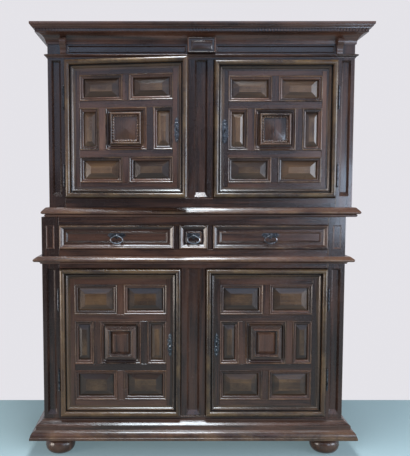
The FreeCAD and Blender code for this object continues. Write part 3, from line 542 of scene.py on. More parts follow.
class Draft:
    """The mesh of one piece while it is made, with its surface marks.

    SHARP and FLAT are angles from which an edge is shown sharp. Faces that differ by less than SAME_PLANE
    become one. A sunk edge shorter than MOUTH belongs to a mortise or a sinking. STRAIGHT and SLOPING say
    how squarely the field and the bevels of a panel face the front. A face of a plate belongs to its edge
    if it faces forward less than RIM.
    """

    SHARP = math.radians(32)
    FLAT = math.radians(4)
    SAME_PLANE = math.radians(0.6)
    MOUTH = 25 * MM
    STRAIGHT, SLOPING = 0.999, 0.9
    RIM = 0.95
    TUBE_SIDES = 8
    BOARD_SPREAD = 40.0

    def __init__(self, name: str) -> None:
        """Start an empty mesh whose boards differ by the piece's name."""
        self.name = name
        self.points: list[Vector] = []
        self.faces: list[tuple[int, ...]] = []
        self.wear: list[float] = []
        self.board: list[Vector] = []
        self.tone: list[float] = []
        self.random = random.Random(name)

    def add(
        self, points: Sequence[Vector], faces: Sequence[tuple[int, ...]], wear: Sequence[float],
        along: Axis | None = None,
    ) -> None:
        """Add one closed part and turn its faces outwards.

        Args:
            points: Its corners.
            faces: Its faces, all turned the same way.
            wear: How rubbed each face is, 0 to 1; a mark below 0 is painted shade instead.
            along: The way the grain runs, or None for the longest side.
        """
        volume = 0.0
        for face in faces:
            for second, third in zip(face[1:], face[2:]):
                volume += points[face[0]].dot(points[second].cross(points[third]))
        start = len(self.points)
        for face in faces:
            corners = face if volume >= 0 else face[::-1]
            self.faces.append(tuple(start + c for c in corners))
        self.wear += wear
        self.points += points
        sides = [max(p[i] for p in points) - min(p[i] for p in points) for i in range(3)]
        long_side = list(Axis)[sides.index(max(sides))]
        main = (along or long_side).value
        second = Vector((main.y, main.z, main.x))
        third = main.cross(second)
        offset = Vector(self.random.uniform(0, self.BOARD_SPREAD) for _ in range(3))
        self.board += [Vector((p.dot(main), p.dot(second), p.dot(third))) + offset for p in points]
        self.tone += [self.random.uniform(-0.5, 0.5)] * len(points)

    def add_eased(self, solid: Solid, ease: float, along: Axis | None = None, edge_wear: float = 1.0) -> None:
        """Add a CAD solid with its outer edges taken off, except beside the corners of mortises and sinkings.

        Args:
            solid: The solid.
            ease: Width that is taken off each edge.
            along: The way the grain runs, or None for the longest side.
            edge_wear: How rubbed the eased edges are.
        """
        mesh = bmesh.new()
        corners = [mesh.verts.new(p) for p in solid.points]
        for face in solid.faces:
            mesh.faces.new([corners[i] for i in face])
        mesh.normal_update()
        bmesh.ops.dissolve_limit(
            mesh, angle_limit=self.SAME_PLANE, verts=mesh.verts[:], edges=mesh.edges[:]
        )
        mesh.normal_update()
        worn: set[bmesh.types.BMFace] = set()
        sharp = [e for e in mesh.edges if e.is_manifold and e.calc_face_angle() > self.SHARP]
        inner = {v for e in sharp if not e.is_convex for v in e.verts}
        short = [e for e in sharp if e.calc_length() < self.MOUTH and inner.issuperset(e.verts)]
        mouths = [v.co for e in short for v in e.verts]
        outer = [e for e in sharp if e.is_convex and self._clears(e, mouths, 2 * ease)]
        if ease and outer:
            made = bmesh.ops.bevel(
                mesh, geom=outer, offset=ease, segments=1, affect="EDGES", clamp_overlap=True, profile=0.5
            )
            worn = set(made["faces"])
        mesh.verts.index_update()
        faces = [tuple(v.index for v in face.verts) for face in mesh.faces]
        wear = [edge_wear if face in worn else 0.0 for face in mesh.faces]
        self.add([v.co.copy() for v in mesh.verts], faces, wear, along)
        mesh.free()

    @staticmethod
    def _clears(edge: bmesh.types.BMEdge, points: Sequence[Vector], least: float) -> bool:
        """Return whether an edge's line keeps at least so far from every point."""
        start, end = (v.co for v in edge.verts)
        return all((geometry.intersect_point_line(p, start, end)[0] - p).length >= least for p in points)

    def mark_fields(self, first: int, flat: float, slope: float) -> None:
        """Mark the fronts of the parts added last, so that flat faces and slopes get painted light and shade
        by how they face.

        Args:
            first: The first face to mark.
            flat: Mark of faces that look straight to the front.
            slope: Mark of faces that slope away from it.
        """
        for number in range(first, len(self.faces)):
            front = geometry.normal([self.points[i] for i in self.faces[number]]).y
            if front < -self.STRAIGHT:
                self.wear[number] = flat
            elif front < -self.SLOPING:
                self.wear[number] = slope

    def add_loft(
        self, rings: Sequence[Sequence[Vector]], wear: Sequence[float], closed: bool = False,
        along: Axis | None = None,
    ) -> None:
        """Add a skin through rings of points.

        Args:
            rings: Loops with the same number of points.
            wear: How rubbed the strip after each point of a loop is; a mark below 0 is painted shade.
            closed: Whether the last ring joins the first; if not, both ends are capped.
            along: The way the grain runs, or None for the longest side.
        """
        size = len(rings[0])
        faces: list[tuple[int, ...]] = []
        marks: list[float] = []
        count = len(rings)
        for i in range(count if closed else count - 1):
            base, other = i * size, (i + 1) % count * size
            for j in range(size):
                k = (j + 1) % size
                faces.append((base + j, base + k, other + k, other + j))
                marks.append(wear[j])
        if not closed:
            faces += [tuple(range(size))[::-1], tuple((count - 1) * size + j for j in range(size))]
            marks += [0.0, 0.0]
        self.add([p for ring in rings for p in ring], faces, marks, along)

    def add_lathe(self, centre: Vector, profile: Profile, steps: int, wear: float = 0.0) -> None:
        """Add a turned part.

        Args:
            centre: The foot of its upright axis.
            profile: Radius and height from its low end to its high end, on the axis at both ends.
            steps: Faces round the axis.
            wear: How rubbed its widest part is.
        """
        inner = profile[1:-1]
        widest = max(r for r, _ in inner)
        points = [centre + Vector((0, 0, profile[0][1])), centre + Vector((0, 0, profile[-1][1]))]
        for radius, height in inner:
            for i in range(steps):
                angle = math.tau * i / steps
                points.append(centre + Vector((radius * math.cos(angle), radius * math.sin(angle), height)))
        faces: list[tuple[int, ...]] = []
        marks: list[float] = []
        for i in range(steps):
            j = (i + 1) % steps
            last = 2 + (len(inner) - 1) * steps
            faces += [(0, 2 + j, 2 + i), (1, last + i, last + j)]
            marks += [0.0, 0.0]
            for level, (radius, _) in enumerate(inner[:-1]):
                low = 2 + level * steps
                faces.append((low + i, low + j, low + steps + j, low + steps + i))
                marks.append(wear * (radius / widest) ** 6)
        self.add(points, faces, marks, Axis.UPRIGHT)

    def add_tube(self, path: Sequence[Vector], radius: float, closed: bool, wear: float = 0.5) -> None:
        """Add a round bar along a path.

        Args:
            path: Points of its middle line.
            radius: The bar's radius.
            closed: Whether the bar is a ring.
            wear: How rubbed it is.
        """
        rings: list[list[Vector]] = []
        count = len(path)
        normal = (path[1] - path[0]).orthogonal().normalized()
        for i, point in enumerate(path):
            before = path[i - 1] if i or closed else point
            after = path[(i + 1) % count] if closed or i + 1 < count else point
            tangent = (after - before).normalized()
            normal = (normal - tangent * normal.dot(tangent)).normalized()
            other = tangent.cross(normal)
            ring = []
            for j in range(self.TUBE_SIDES):
                angle = math.tau * j / self.TUBE_SIDES
                ring.append(point + (normal * math.cos(angle) + other * math.sin(angle)) * radius)
            rings.append(ring)
        self.add_loft(rings, [wear] * self.TUBE_SIDES, closed)

    def add_mitred(self, rect: "Rect", profile: Profile, wear: float) -> None:
        """Add four mitred lengths of moulding round a rectangle.

        Args:
            rect: The rectangle's outer edge and the plane it lies in.
            profile: Loop of points: distance in from the edge, and distance proud of the plane.
            wear: How rubbed its proudest part is.
        """
        marks = profile_wear_and_shade(profile, wear)
        for corner in range(4):
            ends = [
                [rect.corner(number % 4, inset, proud) for inset, proud in profile]
                for number in (corner, corner + 1)
            ]
            self.add_loft(ends, marks)

    def add_plate(
        self, outlines: Sequence[Profile], middle: Vector, thick: float, edge: float, wear: float
    ) -> None:
        """Add a flat plate with openings that faces the front.

        Args:
            outlines: The outer edge, then each opening, round the plate's middle.
            middle: The middle of the plate's back.
            thick: Its thickness.
            edge: Width of its rounded edge.
            wear: How rubbed its edge is; its front is a tenth as rubbed.
        """
        curve = bpy.data.curves.new("plate", "CURVE")
        curve.dimensions, curve.fill_mode = "2D", "BOTH"
        curve.extrude, curve.bevel_depth = thick / 2 - edge, edge
        curve.bevel_resolution, curve.offset = 0, -edge
        for outline in outlines:
            spline = curve.splines.new("POLY")
            spline.points.add(len(outline) - 1)
            for point, (u, v) in zip(spline.points, outline):
                point.co = (u, v, 0, 1)
            spline.use_cyclic_u = True
        holder = bpy.data.objects.new("plate", curve)
        flat = evaluated_mesh(holder)
        mesh = bmesh.new()
        mesh.from_mesh(flat)
        bmesh.ops.remove_doubles(mesh, verts=mesh.verts[:], dist=1e-6)
        bmesh.ops.recalc_face_normals(mesh, faces=mesh.faces[:])
        mesh.verts.index_update()
        points = [middle + Vector((v.co.x, -thick / 2 - v.co.z, v.co.y)) for v in mesh.verts]
        faces = [tuple(v.index for v in face.verts) for face in mesh.faces]
        marks = [wear if abs(face.normal.z) < self.RIM else wear * 0.1 for face in mesh.faces]
        self.add(points, faces, marks)
        mesh.free()
        bpy.data.objects.remove(holder)
        bpy.data.curves.remove(curve)
        bpy.data.meshes.remove(flat)

    def build(
        self, finish: Finish, body: str, turn: Matrix | None = None, replaced: Sequence[str] = (),
        sharp: float = SHARP,
    ) -> bpy.types.Object:
        """Make the piece and put it on its body.

        Args:
            finish: Its finish.
            body: The CAD body that it moves with.
            turn: Turns the whole piece to its place at rest.
            replaced: CAD nodes that it stands in for.
            sharp: The angle from which an edge is shown sharp.

        Returns:
            The piece's object.
        """
        mesh = bpy.data.meshes.new(self.name)
        places = [turn @ p for p in self.points] if turn else self.points
        mesh.from_pydata([tuple(p) for p in places], [], self.faces)
        mesh.attributes.new("board", "FLOAT_VECTOR", "POINT").data.foreach_set(
            "vector", [c for place in self.board for c in place]
        )
        mesh.attributes.new("tone", "FLOAT", "POINT").data.foreach_set("value", self.tone)
        # Marks above 0 are rubbed edges; marks below 0 are painted shade.
        mesh.attributes.new("wear", "FLOAT", "FACE").data.foreach_set("value", self.wear)
        mesh.polygons.foreach_set("use_smooth", [True] * len(mesh.polygons))
        mesh.set_sharp_from_angle(angle=sharp)
        mesh.update()
        return settle(self.name, mesh, finish, body, replaced)


def evaluated_mesh(holder: bpy.types.Object) -> bpy.types.Mesh:
    """Link an object to the scene and return a mesh of what it shows."""
    bpy.context.scene.collection.objects.link(holder)
    return bpy.data.meshes.new_from_object(holder.evaluated_get(bpy.context.evaluated_depsgraph_get()))


def profile_wear_and_shade(profile: Profile, wear: float) -> list[float]:
    """Return how rubbed the strip after each point of a profile is, and how much painted shade lies in it.

    Args:
        profile: Loop of points: place along the moulding's face, and distance proud.
        wear: How rubbed its proudest part is.

    Returns:
        One mark for each strip: up to wear where it stands proud, down to -1 for full painted shade at the
            bottom of a hollow.
    """
    heights = [v for _, v in profile]
    proudest, lowest = max(heights), min(heights)
    marks = []
    for i, (first, second) in enumerate(zip(heights, heights[1:] + heights[:1])):
        level = (first + second) / 2
        depth = min(max(heights[: i + 1]), max(heights[i + 1 :], default=lowest)) - level
        rubbed = wear * max((level - lowest) / (proudest - lowest), 0.0) ** 4
        # A hollow gets a negative mark, which paints shade into it.
        marks.append(-min(depth / HOLLOW, 1.0) if depth > HOLLOW / 4 else rubbed)
    return marks


def settle(
    name: str, mesh: bpy.types.Mesh, finish: Finish, body: str, replaced: Sequence[str] = ()
) -> bpy.types.Object:
    """Make an object of a finished mesh and put it on its body.

    Args:
        name: The piece's name.
        mesh: Its mesh, already in place.
        finish: Its finish.
        body: The CAD body that it moves with.
        replaced: CAD nodes that it stands in for.

    Returns:
        The object.
    """
    mesh.materials.clear()
    mesh.materials.append(finish.build())
    piece = bpy.data.objects.new(name, mesh)
    bpy.context.scene.collection.objects.link(piece)
    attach(piece, body)
    if replaced:
        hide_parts(*replaced)
    log.info("%s on %s: %d faces", name, body, len(mesh.polygons))
    return piece


@dataclass(frozen=True)
class Rect:
    """An upright rectangle that faces the front.

    Attributes:
        left, right, bottom, top: Its edges.
        plane: Its place from front to back.
    """

    left: float
    right: float
    bottom: float
    top: float
    plane: float

    def corner(self, number: int, inset: float, proud: float) -> Vector:
        """Return a corner moved in by inset and out of the plane by proud.

        Args:
            number: 0 to 3, from the bottom left to the right and round.
            inset: Distance in from both edges.
            proud: Distance towards the front.

        Returns:
            The place.
        """
        x = self.left + inset if number in (0, 3) else self.right - inset
        z = self.bottom + inset if number in (0, 1) else self.top - inset
        return Vector((x, self.plane - proud, z))

    def inside(self, inset: float, back: float = 0.0) -> "Rect":
        """Return the rectangle made smaller by inset and moved back."""
        return Rect(
            self.left + inset, self.right - inset, self.bottom + inset, self.top - inset, self.plane + back
        )

    @property
    def middle(self) -> Vector:
        """The rectangle's middle."""
        return Vector(((self.left + self.right) / 2, self.plane, (self.bottom + self.top) / 2))


def front_rect(solid: Solid, plane: float) -> Rect:
    """Return the front of a solid's box, in the given plane."""
    low, high = solid.low, solid.high
    return Rect(low.x, high.x, low.z, high.z, plane)


class RowTree:
    """A Geometry Nodes tree that sets one small shape in a row."""

    INPUTS = {
        "Start": "NodeSocketVector",
        "Step": "NodeSocketVector",
        "Count": "NodeSocketInt",
        "Size": "NodeSocketVector",
        "Wear": "NodeSocketFloat",
        "Finish": "NodeSocketMaterial",
    }

    def __init__(self, shape: RowShape) -> None:
        """Build the tree for one shape."""
        self.tree = bpy.data.node_groups.new(f"row_of_{shape.value}s", "GeometryNodeTree")
        self.inputs: dict[str, str] = {}
        for label, kind in self.INPUTS.items():
            socket = self.tree.interface.new_socket(label, in_out="INPUT", socket_type=kind)
            self.inputs[label] = socket.identifier
        self.tree.interface.new_socket("Geometry", in_out="OUTPUT", socket_type="NodeSocketGeometry")
        nodes = NodeTree(self.tree)
        given = nodes.add("NodeGroupInput").outputs
        line = nodes.add(
            "GeometryNodeMeshLine",
            {"Count": given["Count"], "Start Location": given["Start"], "Offset": given["Step"]},
            mode="OFFSET",
        )
        shape_mesh = self._shape(nodes, shape)
        rows = nodes.add(
            "GeometryNodeInstanceOnPoints",
            {"Points": line.outputs[0], "Instance": shape_mesh, "Scale": given["Size"]},
        )
        real = nodes.add("GeometryNodeRealizeInstances", {"Geometry": rows.outputs[0]})
        place = nodes.add("GeometryNodeInputPosition").outputs[0]
        board = nodes.add(
            "GeometryNodeStoreNamedAttribute",
            {"Geometry": real.outputs[0], "Name": "board", "Value": place},
            data_type="FLOAT_VECTOR",
        )
        worn = nodes.add(
            "GeometryNodeStoreNamedAttribute",
            {"Geometry": board.outputs[0], "Name": "wear", "Value": given["Wear"]},
        )
        dressed = nodes.add(
            "GeometryNodeSetMaterial", {"Geometry": worn.outputs[0], "Material": given["Finish"]}
        )
        result = nodes.add("NodeGroupOutput")
        self.tree.links.new(dressed.outputs[0], result.inputs[0])

    @staticmethod
    def _shape(nodes: NodeTree, shape: RowShape) -> bpy.types.NodeSocket:
        """Return a shape of unit size."""
        if shape is RowShape.DENTIL:
            return nodes.add("GeometryNodeMeshCube", {"Size": (1, 1, 1)}).outputs[0]
        segments, rings = (8, 5) if shape is RowShape.NAIL else (10, 6)
        ball = nodes.add("GeometryNodeMeshUVSphere", {"Segments": segments, "Rings": rings, "Radius": 0.5})
        return nodes.add("GeometryNodeSetShadeSmooth", {0: ball.outputs[0]}).outputs[0]


@dataclass(frozen=True)
class Row:
    """A row of one small shape.

    Attributes:
        start: The middle of the first.
        step: From one to the next.
        count: How many.
        size: Size of each along the three axes.
    """

    start: Vector
    step: Vector
    count: int
    size: Vector


class RowMaker:
    """Makes pieces of rows."""

    def __init__(self) -> None:
        """Build one tree for each shape."""
        self.trees = {shape: RowTree(shape) for shape in RowShape}

    def build(
        self, name: str, shape: RowShape, rows: Sequence[Row], finish: Finish, body: str,
        turn: Matrix | None = None, wear: float = 0.5,
    ) -> bpy.types.Object:
        """Make one piece of several rows.

        Args:
            name: The piece's name.
            shape: The shape that repeats.
            rows: Where the rows run.
            finish: Its finish.
            body: The CAD body that it moves with.
            turn: Turns the whole piece to its place at rest.
            wear: How rubbed it is.

        Returns:
            The piece's object.
        """
        row_tree = self.trees[shape]
        joined = bmesh.new()
        for row in rows:
            empty = bpy.data.meshes.new(name)
            holder = bpy.data.objects.new(name, empty)
            modifier = holder.modifiers.new("row", "NODES")
            modifier.node_group = row_tree.tree
            values = {
                "Start": tuple(row.start), "Step": tuple(row.step), "Count": row.count,
                "Size": tuple(row.size), "Wear": wear, "Finish": finish.build(),
            }
            for label, value in values.items():
                modifier[row_tree.inputs[label]] = value
            made = evaluated_mesh(holder)
            joined.from_mesh(made)
            bpy.data.objects.remove(holder)
            bpy.data.meshes.remove(empty)
            bpy.data.meshes.remove(made)
        mesh = bpy.data.meshes.new(name)
        joined.to_mesh(mesh)
        joined.free()
        if turn:
            mesh.transform(turn)
        return settle(name, mesh, finish, body)


ROWS = RowMaker()


def dress(
    node: str, finish: Finish, body: str, ease: float, edge_wear: float = 1.0, turn: Matrix | None = None,
    name: str = "", sharp: float = Draft.SHARP,
) -> None:
    """Make a piece of a whole CAD node, with its edges eased.

    Args:
        node: The node.
        finish: Its finish.
        body: The CAD body that it moves with.
        ease: Width that is taken off each edge.
        edge_wear: How rubbed the eased edges are.
        turn: From a plain place, where the solids are measured, to the place at rest.
        name: The piece's name, if the node's doesn't give it.
        sharp: The angle from which an edge is shown sharp.
    """
    draft = Draft(name or f"{node}_dressed")
    for solid in solids_of(node, turn.inverted() if turn else None):
        draft.add_eased(solid, ease, edge_wear=edge_wear)
    draft.build(finish, body, turn, (node,), sharp)


# Cases and mouldings


@dataclass(frozen=True)
class Case:
    """One of the two stacked bodies.

    Attributes:
        name: "upper" or "lower", which starts its nodes' names.
        ease: Width taken off the edges of its boards.
    """

    name: str
    ease: float = 1.4 * MM

    WOOD_NODES = ("front_frame", "sides")
    BOARD_NODES = ("boards", "back_boards", "shelf")

    @property
    def body(self) -> str:
        """The CAD body."""
        return f"{self.name}_case"

    @property
    def front(self) -> Rect:
        """The front of its joinery."""
        low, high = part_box(f"{self.name}_front_frame")
        return Rect(low.x, high.x, low.z, high.z, low.y)

    @property
    def back(self) -> float:
        """The plane of its back."""
        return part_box(f"{self.name}_back_boards")[1].y

    def dress(self, node: str, finish: Finish, ease: float, edge_wear: float = 1.0) -> None:
        """Dress one CAD node, with flat faces where its edges are eased."""
        dress(node, finish, self.body, ease, edge_wear, sharp=Draft.FLAT if ease else Draft.SHARP)

    def build(self) -> None:
        """Dress the joinery, the inner boards and the fixed hinge halves."""
        for part in self.WOOD_NODES:
            self.dress(f"{self.name}_{part}", WAXED_WALNUT, self.ease, 0.8)
        for part in self.BOARD_NODES:
            self.dress(f"{self.name}_{part}", BARE_BOARDS, self.ease, 0.4)
        self.dress(f"{self.name}_hinge_posts", WROUGHT_IRON, 0.0)


@dataclass(frozen=True)
class CaseMoulding:
    """A moulding round the front and the two ends of a case.

    Attributes:
        node: The CAD node that it stands in for.
        case: The case it goes round.
        profile: Loop of points in millimetres: out from the case, and up.
        wear: How rubbed its outermost part is.
    """

    node: str
    case: Case
    profile: Profile
    wear: float

    def build(self) -> None:
        """Run the profile along the front and both ends, mitred at the corners."""
        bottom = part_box(self.node)[0].z
        front, back = self.case.front, self.case.back
        profile = scaled(self.profile)
        marks = profile_wear_and_shade([(v, u) for u, v in profile], self.wear)
        left = [Vector((front.left - u, front.plane - u, bottom + v)) for u, v in profile]
        right = [Vector((front.right + u, front.plane - u, bottom + v)) for u, v in profile]
        draft = Draft(f"{self.node}_run")
        draft.add_loft([left, right], marks)
        for corner in (left, right):
            draft.add_loft([corner, [Vector((p.x, back, p.z)) for p in corner]], marks)
        draft.build(WAXED_WALNUT, self.case.body, replaced=(self.node,))


def plinth_profile() -> Profile:
    """Return the plinth's profile: fillet, broad round, flat band and a sloping ledge."""
    return [
        (0, 0), (60, 0), *arc((60, 2), (2, 2), -90, 0, 2), (62, 12), (59.5, 13.5), (59.5, 15),
        *arc((34, 15), (25, 27), 8, 70), (40, 42), (36, 43), (34.5, 44), (34.5, 62), (31, 62.5), (31, 65),
        (29.5, 66.5), (11, 80), (8, 81), (8, 87), (0, 87),
    ]


def waist_profile() -> Profile:
    """Return the waist's profile: hollow, fillet and round nose under a sloping top."""
    return [
        (0, 0), (7, 0), *arc((20, 1), (13, 10), 180, 90), (25, 11), *arc((27, 19), (10, 8), -90, 30),
        (34, 25.5), (21, 35), (19.5, 36), (0, 36),
    ]


def base_profile() -> Profile:
    """Return the profile under the upper body: round, nose and a long slope up to the case."""
    return [
        (0, 0), (14, 0), *arc((14, 7), (8, 7), -90, 60), (24, 14), *arc((27, 21), (9, 7), -90, 40), (33, 28),
        (17, 44), (15, 45), (0, 45),
    ]


def necking_profile() -> Profile:
    """Return the profile under the frieze: hollow and small round."""
    return [
        (0, 0), (3, 0), (3, 2), *arc((9, 2), (6, 6), 180, 90), *arc((9, 12.2), (4.8, 4.2), -90, 90),
        (5, 16.4), (5, 18), (0, 18),
    ]


def cornice_profile() -> Profile:
    """Return the cornice's profile: deep hollow, dentil band and two fascias."""
    return [
        (0, 0), (5, 0), *arc((46, 0), (41, 47), 180, 92), (47, 48), (47, 61), (56, 61), (57, 66),
        *arc((57, 75), (8, 9), -90, 0, 5), (66, 75), *arc((66, 79), (4, 4), -90, 0, 4), (70, 88), (0, 88),
    ]


@dataclass(frozen=True)
class Frieze:
    """The frieze's tablet and brackets, and the dentils under the cornice.

    Attributes:
        case: The upper case.
        dentil: Width, depth and height of a dentil.
        pitch: From one dentil to the next.
        band: The dentil band's distance out from the case and its middle height in the cornice.
        relief: How far the tablet's field stands out from its edge.
        ease: Width taken off the tablet's edges.
        sunk: How far a dentil goes into its band.
    """

    case: Case
    dentil: Vector = Vector((8.5 * MM, 6 * MM, 10 * MM))
    pitch: float = 14.5 * MM
    band: tuple[float, float] = (47 * MM, 54.5 * MM)
    relief: float = 5 * MM
    ease: float = 1.2 * MM
    sunk: float = 1 * MM

    BEAD = scaled([(0, -2), *arc((3.5, 0), (3.5, 5), 180, 0), (7, -2)])

    def build(self) -> None:
        """Dress the ornaments and set the dentils."""
        draft = Draft("frieze_tablet_and_brackets")
        tablet, *brackets = solids_of("frieze_ornaments")
        draft.add_eased(tablet, self.ease, edge_wear=0.3)
        for bracket in brackets:
            self._bracket(draft, bracket)
        draft.add_mitred(front_rect(tablet, tablet.low.y + self.relief), self.BEAD, 0.3)
        draft.build(WAXED_WALNUT, self.case.body, replaced=("frieze_ornaments",))
        ROWS.build("cornice_dentils", RowShape.DENTIL, self._rows(), WAXED_WALNUT, self.case.body, wear=0.3)

    def _bracket(self, draft: Draft, solid: Solid) -> None:
        """Add a bracket that swells out in an S to a round head.

        Args:
            draft: The piece it goes into.
            solid: The CAD bracket that it fills.
        """
        low, high = solid.low, solid.high
        side = [
            (0, 0), (0.32, 0), (0.38, 0.1), *arc((1, 0.1), (0.62, 0.5), 175, 112),
            *arc((0.72, 0.78), (0.28, 0.22), -70, 90), (0, 1),
        ]
        rings = [
            [Vector((x, high.y + u * (low.y - high.y), low.z + v * (high.z - low.z))) for u, v in side]
            for x in (low.x, high.x)
        ]
        # Every face is marked -0.25: painted shade darkens the whole bracket.
        draft.add_loft(rings, [-0.25] * len(side), along=Axis.UPRIGHT)

    def _rows(self) -> list[Row]:
        """Return a row of dentils along the front and along each end."""
        front, (out, rise) = self.case.front, self.band
        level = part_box("cornice")[0].z + rise
        reach = out + self.dentil.y / 2 - self.sunk
        width = front.right - front.left + out * 2 - self.pitch
        count = int(width / self.pitch)
        start = (front.left + front.right - count * self.pitch) / 2
        first = Vector((start, front.plane - reach, level))
        rows = [Row(first, Vector((self.pitch, 0, 0)), count + 1, self.dentil)]
        turned = Vector((self.dentil.y, self.dentil.x, self.dentil.z))
        depth_count = int((self.case.back - front.plane + out) / self.pitch) - 1
        for x in (front.left - reach, front.right + reach):
            first = Vector((x, self.case.back - self.pitch, level))
            rows.append(Row(first, Vector((0, -self.pitch, 0)), depth_count, turned))
        return rows


@dataclass(frozen=True)
class BeltPanels:
    """The small framed panels at both ends of the drawer belt.

    Attributes:
        case: The lower case.
        width: Width of a panel.
    """

    case: Case
    width: float = 40 * MM

    EDGE = scaled([(0, -1), (0, 0.6), *arc((2, 0.6), (2, 1.8), 180, 0, 6), (4.4, 0.2), (9, 0.2), (9, -1)])

    def build(self) -> None:
        """Set a moulding on each outer post, beside the drawers."""
        low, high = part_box("left_drawer_front")
        draft = Draft("belt_panel_mouldings")
        for post in solids_of("lower_front_frame")[:2]:
            left = (post.low.x + post.high.x - self.width) / 2
            panel = Rect(left, left + self.width, low.z, high.z, self.case.front.plane)
            draft.add_mitred(panel, self.EDGE, 0.3)
        draft.build(WAXED_WALNUT, self.case.body)


@dataclass(frozen=True)
class Feet:
    """Turned feet in front and block feet behind, and the runners under the drawers.

    Attributes:
        case: The lower case.
        steps: Faces round a turned foot.
        block_ease: Width taken off the edges of a block foot.
        runner_ease: Width taken off the edges of the drawer runners.
    """

    case: Case
    steps: int = 48
    block_ease: float = 2 * MM
    runner_ease: float = 0.8 * MM

    def build(self) -> None:
        """Turn the front feet, and ease the block feet and the runners."""
        draft = Draft("turned_front_feet")
        for solid in solids_of("front_feet"):
            low, high = solid.low, solid.high
            radius, height = (high.x - low.x) / 2, high.z
            centre = Vector(((low.x + high.x) / 2, (low.y + high.y) / 2, 0))
            ball = arc((radius * 0.62, height * 0.43), (radius * 0.38, height * 0.4), -80, 75, 16)
            collar = arc((radius * 0.64, height * 0.91), (radius * 0.08, height * 0.05), -90, 90, 6)
            profile = [(0, 0), (radius * 0.6, 0), *ball, *collar, (radius * 0.6, height), (0, height)]
            draft.add_lathe(centre, profile, self.steps, 0.4)
        draft.build(WAXED_WALNUT, self.case.body, replaced=("front_feet",))
        self.case.dress("rear_feet", WAXED_WALNUT, self.block_ease)
        self.case.dress("drawer_runners", BARE_BOARDS, self.runner_ease)


# Doors


class BlockKind(Enum):
    """What stands on the middle of a door."""

    PYRAMID = "pyramid"
    FIELD = "field"


def scrolled_edge(length: float, breadth: float, lobes: float, depth: float, steps: int = 36) -> Profile:
    """Return the outline of an upright plate whose edge swells in lobes and ends in points.

    Args:
        length: Its height.
        breadth: Its greatest width.
        lobes: Swellings from the middle to each end.
        depth: How deep the edge is cut between them, as a share of the width.
        steps: Points along each side.

    Returns:
        The outline round the plate's middle.
    """
    right = []
    for i in range(steps + 1):
        t = 2 * i / steps - 1
        swell = 1 - depth * (0.5 - 0.5 * math.cos(math.tau * lobes * abs(t)))
        right.append((breadth / 2 * swell * (1 - abs(t) ** 2.5) ** 0.6, t * length / 2))
    return right + [(-u, v) for u, v in right[-2:0:-1]]


def keyhole(size: float) -> Profile:
    """Return the outline of a keyhole round the middle."""
    head = arc((0, size), (size, size), -50, 230, 10)
    return [*head, (-size * 0.55, -size * 2), (size * 0.55, -size * 2)]


